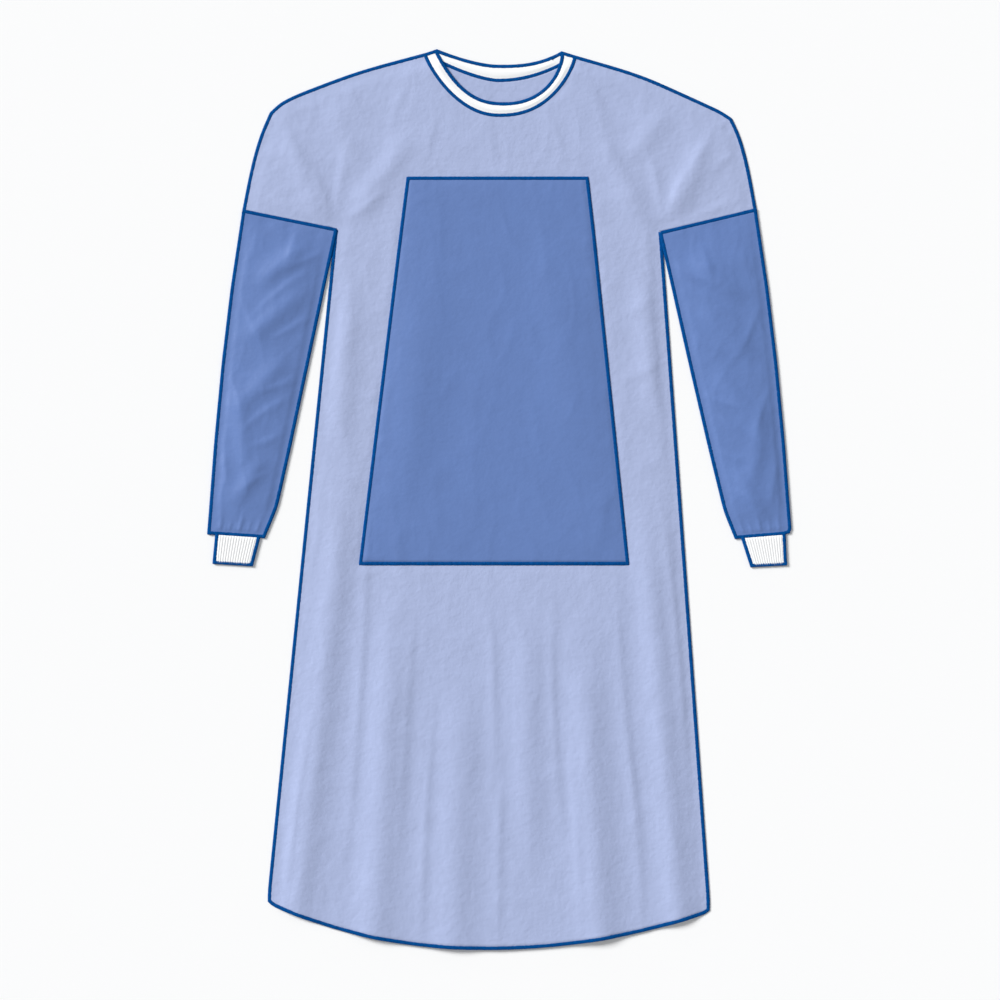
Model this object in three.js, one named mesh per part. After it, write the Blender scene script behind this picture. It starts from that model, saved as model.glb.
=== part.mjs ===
import * as THREE from "three";

// A reinforced surgical gown laid flat on its back, front up, in millimetres.
// +X runs across to the right, +Y towards the neck, +Z up from the surface it lies on.
// The origin is the middle of the garment's outline, on that surface.

// Cloth and seams
const clothThickness = 1.0;
const seamGap = 0.3;
const layerRise = clothThickness + seamGap;

// Shoulders and overarms, from the neck point out to the sleeve seam. The right side hangs a little lower.
const shoulderLeft = [
  { x: -104.3, y: 623.6 },
  { x: -196.0, y: 598.4 },
  { x: -252.0, y: 578.0 },
  { x: -294.0, y: 561.0 },
  { x: -311.0, y: 551.0 },
  { x: -320.5, y: 541.0 },
];
const shoulderRight = [
  { x: 105.7, y: 620.4 },
  { x: 197.4, y: 592.8 },
  { x: 253.4, y: 568.5 },
  { x: 295.0, y: 549.5 },
  { x: 314.6, y: 540.2 },
  { x: 324.2, y: 533.0 },
];
const overarmLeft = [
  { x: -320.5, y: 541.0 },
  { x: -333.3, y: 511.0 },
  { x: -345.7, y: 469.0 },
  { x: -359.0, y: 403.6 },
];
const overarmRight = [
  { x: 324.2, y: 533.0 },
  { x: 334.6, y: 511.0 },
  { x: 346.8, y: 469.0 },
  { x: 359.0, y: 405.2 },
];
// Shares along these lines where the row at the reinforcement's top and the armpit column meet them
const panelRowOnOverarm = 0.5;
const armpitOnShoulder = 0.4;
const armpitOnPanelRow = 0.5;

// Armpits and hem
const armpitLeft = { x: -229.6, y: 377.4 };
const armpitRight = { x: 226.2, y: 373.2 };
const hemCornerLeft = { x: -324.8, y: -564.6 };
const hemCornerRight = { x: 294.6, y: -577.0 };
const hemLowest = { x: -13.3, y: -629.0 };
const hemPower = { left: 2.2, right: 2.0 };
const armpitClearance = 0.4;

// Necklines run between the shoulder tips. Depth is below the tips at the lowest point, which lies a
// little to the right of the middle, and each half has its own power and bend.
const seamTips = { left: -104.3, leftY: 623.6, right: 105.7, rightY: 620.4 };
const edgeTips = { left: -87.6, leftY: 629.0, right: 87.0, rightY: 626.2 };
const neckFront = {
  ...seamTips,
  depth: 84.5,
  lowest: -3.1,
  leftHalf: { power: 1.99, bend: 0.829 },
  rightHalf: { power: 2.36, bend: 0.732 },
  round: true,
};
const neckFrontEdge = {
  ...edgeTips,
  depth: 73.0,
  lowest: 4.2,
  leftHalf: { power: 2.38, bend: 0.893 },
  rightHalf: { power: 2.19, bend: 0.531 },
  round: true,
};
const neckBack = {
  ...seamTips,
  depth: 35.5,
  lowest: -3.5,
  leftHalf: { power: 1.5, bend: 1 },
  rightHalf: { power: 2.0, bend: 1 },
  round: false,
};
const neckBackEdge = {
  ...edgeTips,
  depth: 20.3,
  lowest: -5.5,
  leftHalf: { power: 1.56, bend: 1 },
  rightHalf: { power: 2.7, bend: 1 },
  round: false,
};

// The two long lines that bound the reinforcement, from the neck tips down to the hem
const panelTopY = 450.1;
const panelBottomY = -90.4;
const frontLines = [
  { row: "panelTop", left: -128.5, right: 123.2 },
  { row: "armpit", left: -138.0, right: 131.9 },
  { row: "panelBottom", left: -195.4, right: 180.0 },
  { row: "hem", left: -258.0, right: 233.0 },
];
const backLines = [
  { row: "panelTop", left: -110.6, right: 112.0 },
  { row: "armpit", left: -113.4, right: 114.8 },
  { row: "panelBottom", left: -130.6, right: 131.0 },
  { row: "hem", left: -150.0, right: 150.0 },
];

// The back wraps over itself. Stations count 2 at the left line above and 3 at the right one.
const outerEdgeStation = 2.1;
const innerEdgeStation = 2.9;
const stepStart = 2.02;
const stepEnd = 2.09;

// The front bridges the doubled back and comes down to the single layer over this width
const bridgeWidth = 60;

// Lower sleeves below the seam, by share of their length: the left one's edges, and where the right
// one's inner edge lies. The outer edges are alike. The seam itself is the row before the first.
const sleeveRows = [
  { at: 0.22, outerX: 375.4, outerY: 294, innerX: 247.4, innerY: 287, rightX: 244, rightY: 287 },
  { at: 0.45, outerX: 387.8, outerY: 190, innerX: 268.8, innerY: 186, rightX: 266.8, rightY: 186 },
  { at: 0.7, outerX: 398.2, outerY: 80, innerX: 292.6, innerY: 74, rightX: 292.8, rightY: 74 },
  { at: 0.88, outerX: 404.6, outerY: -4.4, innerX: 311.3, innerY: -10, rightX: 314.8, rightY: -16.2 },
  { at: 1, outerX: 408, outerY: -47.8, innerX: 329.1, innerY: -53.1, rightX: 330.2, rightY: -54.2 },
];
const sleeveLoft = 1.8;
const loftStart = 0.15;
const loftEnd = 50;

// The seam's folds run on into the sleeve for this share of its length, and its own start past the first
const seamFoldsEnd = 0.12;
const ownFoldsStart = 0.06;
const flatEdge = 12;

// Knit cuffs: the share of the sleeve's end that they take up, and their end at the hand
const cuffTop = {
  left: { outerShare: 0.143, innerShare: 0.916 },
  right: { outerShare: 0.11, innerShare: 0.885 },
};
const cuffHand = {
  left: { outerX: -400.5, outerY: -88.9, innerX: -346.1, innerY: -92.4 },
  right: { outerX: 401.3, outerY: -91.2, innerX: 352.0, innerY: -93.6 },
};
const innerInset = 1.5;
const cuffWall = 1.1;
const cuffHollow = 0.4;
const ribRise = 0.6;
const ribsAcross = 16;

// The soft folds that the cloth settles into, faded over a share of their length at each end.
// An open fold runs out at the hem at its full height.
const foldFade = 0.35;
const bodyFolds = [
  { fromX: -204, fromY: 130, toX: -284, toY: -590, rise: 3.4, half: 20, open: true },
  { fromX: -148, fromY: -120, toX: -178, toY: -625, rise: 4.2, half: 24, open: true },
  { fromX: -52, fromY: -210, toX: -66, toY: -640, rise: 3.2, half: 25, open: true },
  { fromX: 34, fromY: -120, toX: 44, toY: -560, rise: 2.7, half: 22, open: false },
  { fromX: 112, fromY: -150, toX: 142, toY: -630, rise: 4.0, half: 23, open: true },
  { fromX: 196, fromY: 60, toX: 252, toY: -600, rise: 3.6, half: 19, open: true },
  { fromX: -214, fromY: 386, toX: -116, toY: 520, rise: 2.5, half: 16, open: false },
  { fromX: 211, fromY: 382, toX: 128, toY: 528, rise: 2.9, half: 16, open: false },
  { fromX: -238, fromY: 384, toX: -306, toY: 516, rise: 3.1, half: 16, open: false },
  { fromX: 236, fromY: 382, toX: 296, toY: 508, rise: 2.8, half: 16, open: false },
  { fromX: -246, fromY: 566, toX: -182, toY: 446, rise: 1.8, half: 17, open: false },
  { fromX: 238, fromY: 556, toX: 176, toY: 462, rise: 2.2, half: 16, open: false },
  { fromX: -96, fromY: 350, toX: -136, toY: -50, rise: 1.9, half: 30, open: false },
  { fromX: 66, fromY: 400, toX: 116, toY: 10, rise: 1.7, half: 31, open: false },
  { fromX: -204, fromY: 345, toX: -226, toY: 30, rise: 2.3, half: 16, open: false },
  { fromX: 199, fromY: 350, toX: 218, toY: 90, rise: 2.1, half: 16, open: false },
];
const sleeveFolds = [
  { fromX: 262, fromY: 362, toX: 346, toY: 296, rise: 2.7, half: 13 },
  { fromX: 262, fromY: 304, toX: 366, toY: 212, rise: 2.5, half: 14 },
  { fromX: 290, fromY: 206, toX: 376, toY: 118, rise: 2.2, half: 14 },
  { fromX: 372, fromY: 170, toX: 348, toY: 16, rise: 1.8, half: 13 },
  { fromX: 322, fromY: 70, toX: 378, toY: -14, rise: 1.9, half: 11 },
];
const rightSleeveShift = -22;
const cuffGathers = [
  { across: 0.2, long: 34, rise: 1.4 },
  { across: 0.36, long: 22, rise: 1.0 },
  { across: 0.53, long: 40, rise: 1.6 },
  { across: 0.68, long: 26, rise: 1.1 },
  { across: 0.83, long: 36, rise: 1.4 },
];
const gatherHalf = 4.5;

// How finely each stretch is divided
const sleeveCells = 5;
const sideCells = 4;
const centreCells = 18;
const backCentreStations = [2.2, 2.3, 2.4, 2.5, 2.6, 2.7, 2.8];
const yokeRows = [2, 1.8, 1.6, 1.4, 1.2, 1, 0.67, 0.33, 0];
const frontCells = { panel: 12, skirt: 12 };
const backCells = { panel: 3, skirt: 3 };
const sleeveLengthCells = 18;
const sleeveTopCells = 18;
const undersideCells = 6;
const cuffLengthCells = 3;

// Colours
const lightBlue = 0xaab6da;
const midBlue = 0x6882bb;
const white = 0xf6f8fa;

function mix(a, b, t) {
  return a + (b - a) * t;
}

function mixPoint(a, b, t) {
  return { x: mix(a.x, b.x, t), y: mix(a.y, b.y, t) };
}

function smooth(t) {
  const held = Math.min(1, Math.max(0, t));
  return held * held * (3 - 2 * held);
}

// A smooth line through the points of a table, read by a share of its length from 0 to 1.
function lineThrough(points) {
  const curve = new THREE.CatmullRomCurve3(points.map((p) => new THREE.Vector3(p.x, p.y, 0)));
  return (share) => curve.getPointAt(Math.min(1, Math.max(0, share)));
}

const shoulderLine = { left: lineThrough(shoulderLeft), right: lineThrough(shoulderRight) };
const overarmLine = { left: lineThrough(overarmLeft), right: lineThrough(overarmRight) };

// A point of a neckline: turn runs from 0 at the left shoulder tip to 1 at the right one.
function neckPoint(neck, turn) {
  const x = mix(neck.left, neck.right, turn);
  const onLeft = x < neck.lowest;
  const tip = onLeft ? neck.left : neck.right;
  const { power, bend } = onLeft ? neck.leftHalf : neck.rightHalf;
  const away = Math.min(1, Math.abs((x - neck.lowest) / (tip - neck.lowest)));
  const drop = neck.depth * (1 - away ** power) ** bend;
  return { x, y: mix(neck.leftY, neck.rightY, turn) - drop };
}

// The drop of the hem below its corners, level at its lowest point.
function hemPoint(x) {
  const onLeft = x < hemLowest.x;
  const corner = onLeft ? hemCornerLeft : hemCornerRight;
  const away = Math.max(0, (x - hemLowest.x) / (corner.x - hemLowest.x));
  return { x, y: mix(hemLowest.y, corner.y, away ** (onLeft ? hemPower.left : hemPower.right)) };
}

// Stations run across the garment: 0 left overarm, 1 left armpit, 2 and 3 the two long lines,
// 4 right armpit, 5 right overarm. Each of these rows gives the point at a station.
function seamRow(lines, station) {
  const line = lines.find((l) => l.row === "armpit");
  const marks = [
    { x: overarmLeft.at(-1).x, y: overarmLeft.at(-1).y },
    armpitLeft,
    { x: line.left, y: (2 * armpitLeft.y + armpitRight.y) / 3 },
    { x: line.right, y: (armpitLeft.y + 2 * armpitRight.y) / 3 },
    armpitRight,
    { x: overarmRight.at(-1).x, y: overarmRight.at(-1).y },
  ];
  return alongMarks(marks, station);
}

function alongMarks(marks, station) {
  const first = Math.min(marks.length - 2, Math.floor(station));
  return mixPoint(marks[first], marks[first + 1], station - first);
}

function panelTopRow(lines, station) {
  const line = lines.find((l) => l.row === "panelTop");
  const outerLeft = overarmLine.left(panelRowOnOverarm);
  const outerRight = overarmLine.right(panelRowOnOverarm);
  const marks = [
    outerLeft,
    mixPoint(outerLeft, { x: line.left, y: panelTopY }, armpitOnPanelRow),
    { x: line.left, y: panelTopY },
    { x: line.right, y: panelTopY },
    mixPoint(outerRight, { x: line.right, y: panelTopY }, armpitOnPanelRow),
    outerRight,
  ];
  return alongMarks(marks, station);
}

function topRow(neck, station) {
  if (station < 2) {
    const share = station < 1 ? mix(0, armpitOnShoulder, station) : mix(armpitOnShoulder, 1, station - 1);
    return shoulderLine.left(1 - share);
  }
  if (station > 3) {
    const share = station < 4 ? mix(1, armpitOnShoulder, station - 3) : mix(armpitOnShoulder, 0, station - 4);
    return shoulderLine.right(1 - share);
  }
  return neckPoint(neck, neckTurn(neck, station));
}

// Columns crowd towards the tips of the round front neckline, and are even along the back one.
function neckTurn(neck, station) {
  return neck.round ? (1 - Math.cos(Math.PI * (station - 2))) / 2 : station - 2;
}

function panelBottomRow(lines, station) {
  const line = lines.find((l) => l.row === "panelBottom");
  const shareLeft = (armpitLeft.y - panelBottomY) / (armpitLeft.y - hemCornerLeft.y);
  const shareRight = (armpitRight.y - panelBottomY) / (armpitRight.y - hemCornerRight.y);
  const marks = [
    mixPoint(armpitLeft, hemCornerLeft, shareLeft),
    { x: line.left, y: panelBottomY },
    { x: line.right, y: panelBottomY },
    mixPoint(armpitRight, hemCornerRight, shareRight),
  ];
  return alongMarks(marks, station - 1);
}

function hemRow(lines, station) {
  const line = lines.find((l) => l.row === "hem");
  const marks = [hemCornerLeft, { x: line.left }, { x: line.right }, hemCornerRight];
  const first = Math.min(2, Math.floor(station - 1));
  return hemPoint(mix(marks[first].x, marks[first + 1].x, station - 1 - first));
}

// A point of the yoke. Height 0 is the sleeve seam, 1 the top of the reinforcement, 2 the shoulder.
function yokePoint(lines, neck, station, height) {
  const upper = height > 1;
  const from = upper ? panelTopRow(lines, station) : seamRow(lines, station);
  const to = upper ? topRow(neck, station) : panelTopRow(lines, station);
  const point = mixPoint(from, to, upper ? height - 1 : height);
  // The overarm edge follows its own curve, and the columns beside it follow it less and less.
  const side = station < 1 ? "left" : station > 4 ? "right" : null;
  if (!side) return point;
  const edgeStation = side === "left" ? 0 : 5;
  const weight = 1 - Math.abs(station - edgeStation);
  const edge = yokeEdge(side, height);
  const straight = mixPoint(
    upper ? panelTopRow(lines, edgeStation) : seamRow(lines, edgeStation),
    upper ? topRow(neck, edgeStation) : panelTopRow(lines, edgeStation),
    upper ? height - 1 : height,
  );
  return { x: point.x + (edge.x - straight.x) * weight, y: point.y + (edge.y - straight.y) * weight };
}

function yokeEdge(side, height) {
  const share = height > 1 ? panelRowOnOverarm * (2 - height) : mix(1, panelRowOnOverarm, height);
  return overarmLine[side](share);
}

// The body's points as rows from the shoulder to the hem. Below the armpits the sleeve columns are empty.
function bodyGrid(lines, neck, stations, cells) {
  const rows = yokeRows.map((height) =>
    stations.map((station) => ({
      ...yokePoint(lines, neck, station, height),
      station,
      sewn: station === 0 || station === 5 || (height === 2 && (station < 2 || station > 3)),
    })),
  );
  const below = (from, to, count) => {
    for (let i = 1; i <= count; i++) {
      rows.push(
        stations.map((station) =>
          station < 1 || station > 4
            ? null
            : {
                ...mixPoint(from(lines, station), to(lines, station), i / count),
                station,
                sewn: station === 1 || station === 4,
              },
        ),
      );
    }
  };
  below(seamRow, panelBottomRow, cells.panel);
  below(panelBottomRow, hemRow, cells.skirt);
  return rows;
}

function spread(from, to, count) {
  return Array.from({ length: count }, (_, i) => mix(from, to, i / count));
}

// The height of one fold over a point: highest along its middle, faded at its ends.
function foldRise(fold, x, y) {
  const dx = fold.toX - fold.fromX;
  const dy = fold.toY - fold.fromY;
  const length = Math.hypot(dx, dy);
  const along = ((x - fold.fromX) * dx + (y - fold.fromY) * dy) / (length * length);
  const aside = Math.abs((x - fold.fromX) * dy - (y - fold.fromY) * dx) / length;
  const start = smooth(along / foldFade);
  const end = fold.open ? 1 : smooth((1 - along) / foldFade);
  return fold.rise * start * end * Math.exp(-((aside / fold.half) ** 2));
}

function foldsAt(folds, x, y) {
  return folds.reduce((sum, fold) => sum + foldRise(fold, x, y), 0);
}

// How far a point lies out from the doubled back, where 0 is over it and 1 is past the bridge.
function pastDouble(x, y) {
  const down = (neckBack.leftY - y) / (neckBack.leftY - hemLowest.y);
  const hem = backLines.find((l) => l.row === "hem");
  const left = mix(neckBack.left, hem.left, down);
  const right = mix(neckBack.right, hem.right, down);
  return Math.max(left - x, x - right, 0) / bridgeWidth;
}

function frontUnderside(point) {
  const rise = point.sewn ? 0 : foldsAt(bodyFolds, point.x, point.y);
  return layerRise * (2 - smooth(pastDouble(point.x, point.y))) + rise;
}

function innerBackUnderside(point) {
  const share = (point.station - stepStart) / (stepEnd - stepStart);
  return layerRise * Math.min(1, Math.max(0, share));
}

// Collects corners and faces, and gives a mesh of them.
class Surface {
  constructor() {
    this.corners = [];
    this.faces = [];
  }

  add(x, y, z) {
    this.corners.push(x, y, z);
    return this.corners.length / 3 - 1;
  }

  quad(a, b, c, d) {
    this.faces.push(a, b, c, a, c, d);
  }

  mesh(name, colour, roughness) {
    const geometry = new THREE.BufferGeometry();
    geometry.setAttribute("position", new THREE.Float32BufferAttribute(this.corners, 3));
    geometry.setIndex(this.faces);
    geometry.computeVertexNormals();
    const material = new THREE.MeshStandardMaterial({ color: colour, roughness, metalness: 0 });
    const made = new THREE.Mesh(geometry, material);
    made.name = name;
    return made;
  }
}

// A flat-cut piece of cloth: a lower and an upper face over each cell of the grid, and a side wall
// on each edge that only one cell uses. Rows run from the neck down, columns from left to right.
function clothPiece(rows, underside, name, colour, roughness) {
  const surface = new Surface();
  const low = rows.map((row) => row.map((p) => p && surface.add(p.x, p.y, underside(p))));
  const high = rows.map((row) => row.map((p) => p && surface.add(p.x, p.y, underside(p) + clothThickness)));
  const filled = (r, c) =>
    [low[r]?.[c], low[r]?.[c + 1], low[r + 1]?.[c], low[r + 1]?.[c + 1]].every((i) => Number.isInteger(i));
  for (let r = 0; r + 1 < rows.length; r++) {
    for (let c = 0; c + 1 < rows[r].length; c++) {
      if (!filled(r, c)) continue;
      surface.quad(high[r + 1][c], high[r + 1][c + 1], high[r][c + 1], high[r][c]);
      surface.quad(low[r][c], low[r][c + 1], low[r + 1][c + 1], low[r + 1][c]);
      const wall = (r1, c1, r2, c2) =>
        surface.quad(low[r1][c1], low[r2][c2], high[r2][c2], high[r1][c1]);
      if (!filled(r - 1, c)) wall(r, c + 1, r, c);
      if (!filled(r + 1, c)) wall(r + 1, c, r + 1, c + 1);
      if (!filled(r, c - 1)) wall(r, c, r + 1, c);
      if (!filled(r, c + 1)) wall(r + 1, c + 1, r, c + 1);
    }
  }
  return surface.mesh(name, colour, roughness);
}

// A tube through rings of paired outer and inner points, open at both ends.
function tubePiece(rings, name, colour, roughness) {
  const surface = new Surface();
  const index = rings.map((ring) => ({
    outer: ring.outer.map((p) => surface.add(p.x, p.y, p.z)),
    inner: ring.inner.map((p) => surface.add(p.x, p.y, p.z)),
  }));
  const count = rings[0].outer.length;
  for (let i = 0; i < count; i++) {
    const j = (i + 1) % count;
    for (let r = 0; r + 1 < rings.length; r++) {
      const a = index[r];
      const b = index[r + 1];
      surface.quad(a.outer[i], b.outer[i], b.outer[j], a.outer[j]);
      surface.quad(a.inner[j], b.inner[j], b.inner[i], a.inner[i]);
    }
    const start = index[0];
    const end = index.at(-1);
    surface.quad(start.outer[j], start.inner[j], start.inner[i], start.outer[i]);
    surface.quad(end.outer[i], end.inner[i], end.inner[j], end.outer[j]);
  }
  return surface.mesh(name, colour, roughness);
}

// One ring of a tube pressed flat between two edge points. The underside lies level, the top takes
// its rise from a function of the share across, and the rounded edges are half the height.
function flatRing({ edge, far, wall, hollow, topCells, rise, rib = () => 0 }) {
  const width = Math.hypot(far.x - edge.x, far.y - edge.y);
  const height = 2 * wall + hollow;
  const side = height / 2;
  const at = (across, z) => ({ ...mixPoint(edge, far, across / width), z });
  const outer = [];
  const inner = [];
  const pair = (outerAcross, outerZ, innerAcross, innerZ) => {
    outer.push(at(outerAcross, outerZ));
    inner.push(at(innerAcross, innerZ));
  };
  const nearest = innerInset * wall;
  const inside = (across) => Math.min(width - nearest, Math.max(nearest, across));
  pair(0, side, wall, side);
  for (let i = 0; i <= topCells; i++) {
    const across = side + ((width - 2 * side) * i) / topCells;
    const z = height + rise(across / width, across, width);
    pair(across, z + rib(i), inside(across), z - wall);
  }
  pair(width, side, width - wall, side);
  for (let i = undersideCells; i >= 0; i--) {
    const across = side + ((width - 2 * side) * i) / undersideCells;
    pair(across, 0, inside(across), wall);
  }
  return { outer, inner };
}

// The outer and inner edge of a lower sleeve at a share of its length, clear of the seam by the gap.
function sleeveEdges(side, at) {
  const sign = side === "left" ? -1 : 1;
  const overarmEnd = (side === "left" ? overarmLeft : overarmRight).at(-1);
  const armpit = side === "left" ? armpitLeft : armpitRight;
  const rows = [
    {
      at: 0,
      edge: { x: overarmEnd.x, y: overarmEnd.y - seamGap },
      far: { x: armpit.x + sign * armpitClearance, y: armpit.y - seamGap },
    },
    ...sleeveRows.map((row) => ({
      at: row.at,
      edge: { x: sign * row.outerX, y: row.outerY },
      far: side === "left" ? { x: -row.innerX, y: row.innerY } : { x: row.rightX, y: row.rightY },
    })),
  ];
  const last = Math.max(1, rows.findIndex((row) => row.at >= at));
  const t = (at - rows[last - 1].at) / (rows[last].at - rows[last - 1].at);
  return {
    edge: mixPoint(rows[last - 1].edge, rows[last].edge, t),
    far: mixPoint(rows[last - 1].far, rows[last].far, t),
  };
}

function gatherRise(across, width, fromEnd) {
  return cuffGathers.reduce((sum, gather) => {
    const aside = (across - gather.across * width) / gatherHalf;
    return sum + gather.rise * Math.exp(-aside * aside) * smooth(1 - fromEnd / gather.long);
  }, 0);
}

// A lower sleeve. Its top meets the front's folds at the seam and lofts a little along its middle.
function sleeve(side, name) {
  const sign = side === "left" ? -1 : 1;
  const shift = side === "left" ? 0 : rightSleeveShift;
  const wrist = sleeveEdges(side, 1);
  const rings = [];
  for (let i = 0; i <= sleeveLengthCells; i++) {
    const at = i / sleeveLengthCells;
    const { edge, far } = sleeveEdges(side, at);
    const fromEnd = (edge.y + far.y - wrist.edge.y - wrist.far.y) / 2;
    const rise = (share, across, width) => {
      const { x, y } = mixPoint(edge, far, share);
      const held = smooth(Math.min(across, width - across) / flatEdge);
      const own = foldsAt(sleeveFolds, sign * x, y - shift) * smooth(at / ownFoldsStart);
      const shared = foldsAt(bodyFolds, x, y) * smooth(1 - at / seamFoldsEnd);
      const lofted = smooth(at / loftStart) * smooth(fromEnd / loftEnd);
      const loft = sleeveLoft * Math.sin(Math.PI * share) * lofted;
      return held * (own + shared + loft + gatherRise(across, width, fromEnd));
    };
    const section = { edge, far, wall: clothThickness, hollow: seamGap, topCells: sleeveTopCells, rise };
    rings.push(turned(flatRing(section), side));
  }
  return tubePiece(rings, name, midBlue, 0.6);
}

// The mirrored side runs its rings the other way round, so that its faces look out.
function turned(ring, side) {
  if (side === "left") return ring;
  return { outer: ring.outer.toReversed(), inner: ring.inner.toReversed() };
}

// A rib knit cuff: every other point of its upper face stands out as a rib. The face it lies on is plain.
function cuff(side, name) {
  const wrist = sleeveEdges(side, 1);
  const hand = cuffHand[side];
  const drop = (p) => ({ x: p.x, y: p.y - seamGap });
  const topEdge = drop(mixPoint(wrist.edge, wrist.far, cuffTop[side].outerShare));
  const topFar = drop(mixPoint(wrist.edge, wrist.far, cuffTop[side].innerShare));
  const handEdge = { x: hand.outerX, y: hand.outerY };
  const handFar = { x: hand.innerX, y: hand.innerY };
  const rings = [];
  for (let i = 0; i <= cuffLengthCells; i++) {
    const section = {
      edge: mixPoint(topEdge, handEdge, i / cuffLengthCells),
      far: mixPoint(topFar, handFar, i / cuffLengthCells),
      wall: cuffWall,
      hollow: cuffHollow,
      topCells: 2 * ribsAcross,
      rise: () => 0,
      rib: (point) => (point % 2 ? ribRise : 0),
    };
    rings.push(turned(flatRing(section), side));
  }
  return tubePiece(rings, name, white, 0.95);
}

// A stretch of neck binding beside the stations of its panel's neckline, clear of the panel by the seam gap.
function binding(neck, edge, stations, underside, name) {
  const turns = stations.map((station) => neckTurn(neck, station));
  const rows = [
    turns.map((turn) => ({ ...neckPoint(edge, turn), station: 2 + turn })),
    turns.map((turn) => {
      const seam = neckPoint(neck, turn);
      const free = neckPoint(edge, turn);
      const width = Math.hypot(free.x - seam.x, free.y - seam.y);
      return { ...mixPoint(seam, free, seamGap / width), station: 2 + turn };
    }),
  ];
  return clothPiece(rows, underside, name, white, 0.8);
}

const sleeveStations = spread(0, 1, sleeveCells);
const sideStations = spread(1, 2, sideCells);
const mirrored = (stations) => stations.map((station) => 5 - station).toReversed();
const frontStations = [
  ...sleeveStations,
  ...sideStations,
  ...spread(2, 3, centreCells),
  3,
  ...mirrored(sideStations),
  ...mirrored(sleeveStations),
].filter((station, i, all) => station !== all[i - 1]);
const innerBackStations = [
  ...sleeveStations,
  ...sideStations,
  2,
  stepStart,
  stepEnd,
  ...backCentreStations,
  innerEdgeStation,
];
const outerBackStations = [
  outerEdgeStation,
  ...backCentreStations,
  3,
  ...mirrored(sideStations),
  ...mirrored(sleeveStations),
];

const frontRows = bodyGrid(frontLines, neckFront, frontStations, frontCells);
const innerBackRows = bodyGrid(backLines, neckBack, innerBackStations, backCells);
const outerBackRows = bodyGrid(backLines, neckBack, outerBackStations, backCells);

// The reinforcement takes the front's own points between its two long lines, moved out by one layer.
function reinforcementRows() {
  const top = yokeRows.indexOf(1);
  const bottom = yokeRows.length - 1 + frontCells.panel;
  const left = frontStations.indexOf(2);
  const right = frontStations.indexOf(3);
  return frontRows.slice(top, bottom + 1).map((row) => row.slice(left, right + 1));
}

const gown = new THREE.Group();
gown.add(clothPiece(outerBackRows, () => 0, "back_outer", lightBlue, 0.75));
gown.add(clothPiece(innerBackRows, innerBackUnderside, "back_inner", lightBlue, 0.75));
gown.add(clothPiece(frontRows, frontUnderside, "front_body", lightBlue, 0.75));
gown.add(
  clothPiece(
    reinforcementRows(),
    (point) => frontUnderside(point) + layerRise,
    "front_reinforcement",
    midBlue,
    0.6,
  ),
);
gown.add(sleeve("left", "sleeve_left"));
gown.add(sleeve("right", "sleeve_right"));
gown.add(cuff("left", "cuff_left"));
gown.add(cuff("right", "cuff_right"));
const onNeckline = (station) => station >= 2 && station <= 3;
gown.add(
  binding(neckFront, neckFrontEdge, frontStations.filter(onNeckline), frontUnderside, "neck_binding_front"),
);
gown.add(
  binding(
    neckBack,
    neckBackEdge,
    innerBackStations.filter(onNeckline),
    innerBackUnderside,
    "neck_binding_back_inner",
  ),
);
gown.add(
  binding(neckBack, neckBackEdge, outerBackStations.filter(onNeckline), () => 0, "neck_binding_back_outer"),
);

export default gown;
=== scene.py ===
import math
import bmesh
import bpy
import numpy as np
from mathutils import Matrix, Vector, noise
from mathutils.bvhtree import BVHTree
from mathutils.kdtree import KDTree


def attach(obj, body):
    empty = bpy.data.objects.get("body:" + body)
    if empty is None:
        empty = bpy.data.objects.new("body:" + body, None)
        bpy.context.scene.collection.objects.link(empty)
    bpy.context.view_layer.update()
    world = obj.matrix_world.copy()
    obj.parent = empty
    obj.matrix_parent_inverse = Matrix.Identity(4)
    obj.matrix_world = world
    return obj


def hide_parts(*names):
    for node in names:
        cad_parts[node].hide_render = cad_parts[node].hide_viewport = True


# Reinforced surgical gown laid flat, front up: +X across, +Y towards the neck, +Z up.
# The tables below are in millimetres, and the meshes in metres.
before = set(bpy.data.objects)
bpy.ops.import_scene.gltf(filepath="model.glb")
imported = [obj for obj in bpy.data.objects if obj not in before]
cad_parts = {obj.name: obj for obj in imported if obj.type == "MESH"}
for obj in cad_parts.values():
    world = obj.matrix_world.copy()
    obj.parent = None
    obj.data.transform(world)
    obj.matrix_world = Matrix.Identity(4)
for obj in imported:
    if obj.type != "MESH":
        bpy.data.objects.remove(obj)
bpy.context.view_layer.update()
mm = 0.001

levels = {
    "skin": 0.5,  # thickness of each layer of cloth
    "lift": 0.3,  # the overlocked edges hold the cloth this far off the floor
    "backTop": 0.8,
    "backDoubledTop": 1.6,
    "sewnTop": 1.4,  # the front where it is sewn down to the back
    "frontTop": 2.3,
    "frontDoubledTop": 3.6,
    "seamFlat": 5.0,  # the strip under a row of edge stitches lies flat
    "rowHalf": 2.4,  # half the strip under a row across the middle of the cloth
    "sinkWidth": 17,  # how wide a strip beside a sewn edge comes down to it
    "panelAbove": 0.75,  # the reinforcement over the front
}

colours = {
    "lightBlue": (0.374, 0.437, 0.661, 1),
    "midBlue": (0.111, 0.195, 0.459, 1),
    "darkBlue": (0.0008, 0.066, 0.252, 1),
    "white": (0.94, 0.945, 0.95, 1),
}


# Small helpers for the materials' nodes

def newMaterial(name):
    material = bpy.data.materials.new(name)
    material.use_nodes = True
    tree = material.node_tree
    tree.nodes.clear()
    output = tree.nodes.new("ShaderNodeOutputMaterial")
    shader = tree.nodes.new("ShaderNodeBsdfPrincipled")
    tree.links.new(shader.outputs["BSDF"], output.inputs["Surface"])
    return material, tree, shader


def setInputs(node, **values):
    for key, value in values.items():
        node.inputs[key.replace("_", " ")].default_value = value


def addNode(tree, kind, settings=(), **values):
    node = tree.nodes.new(kind)
    for key, value in dict(settings).items():
        setattr(node, key, value)
    setInputs(node, **values)
    return node


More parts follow.
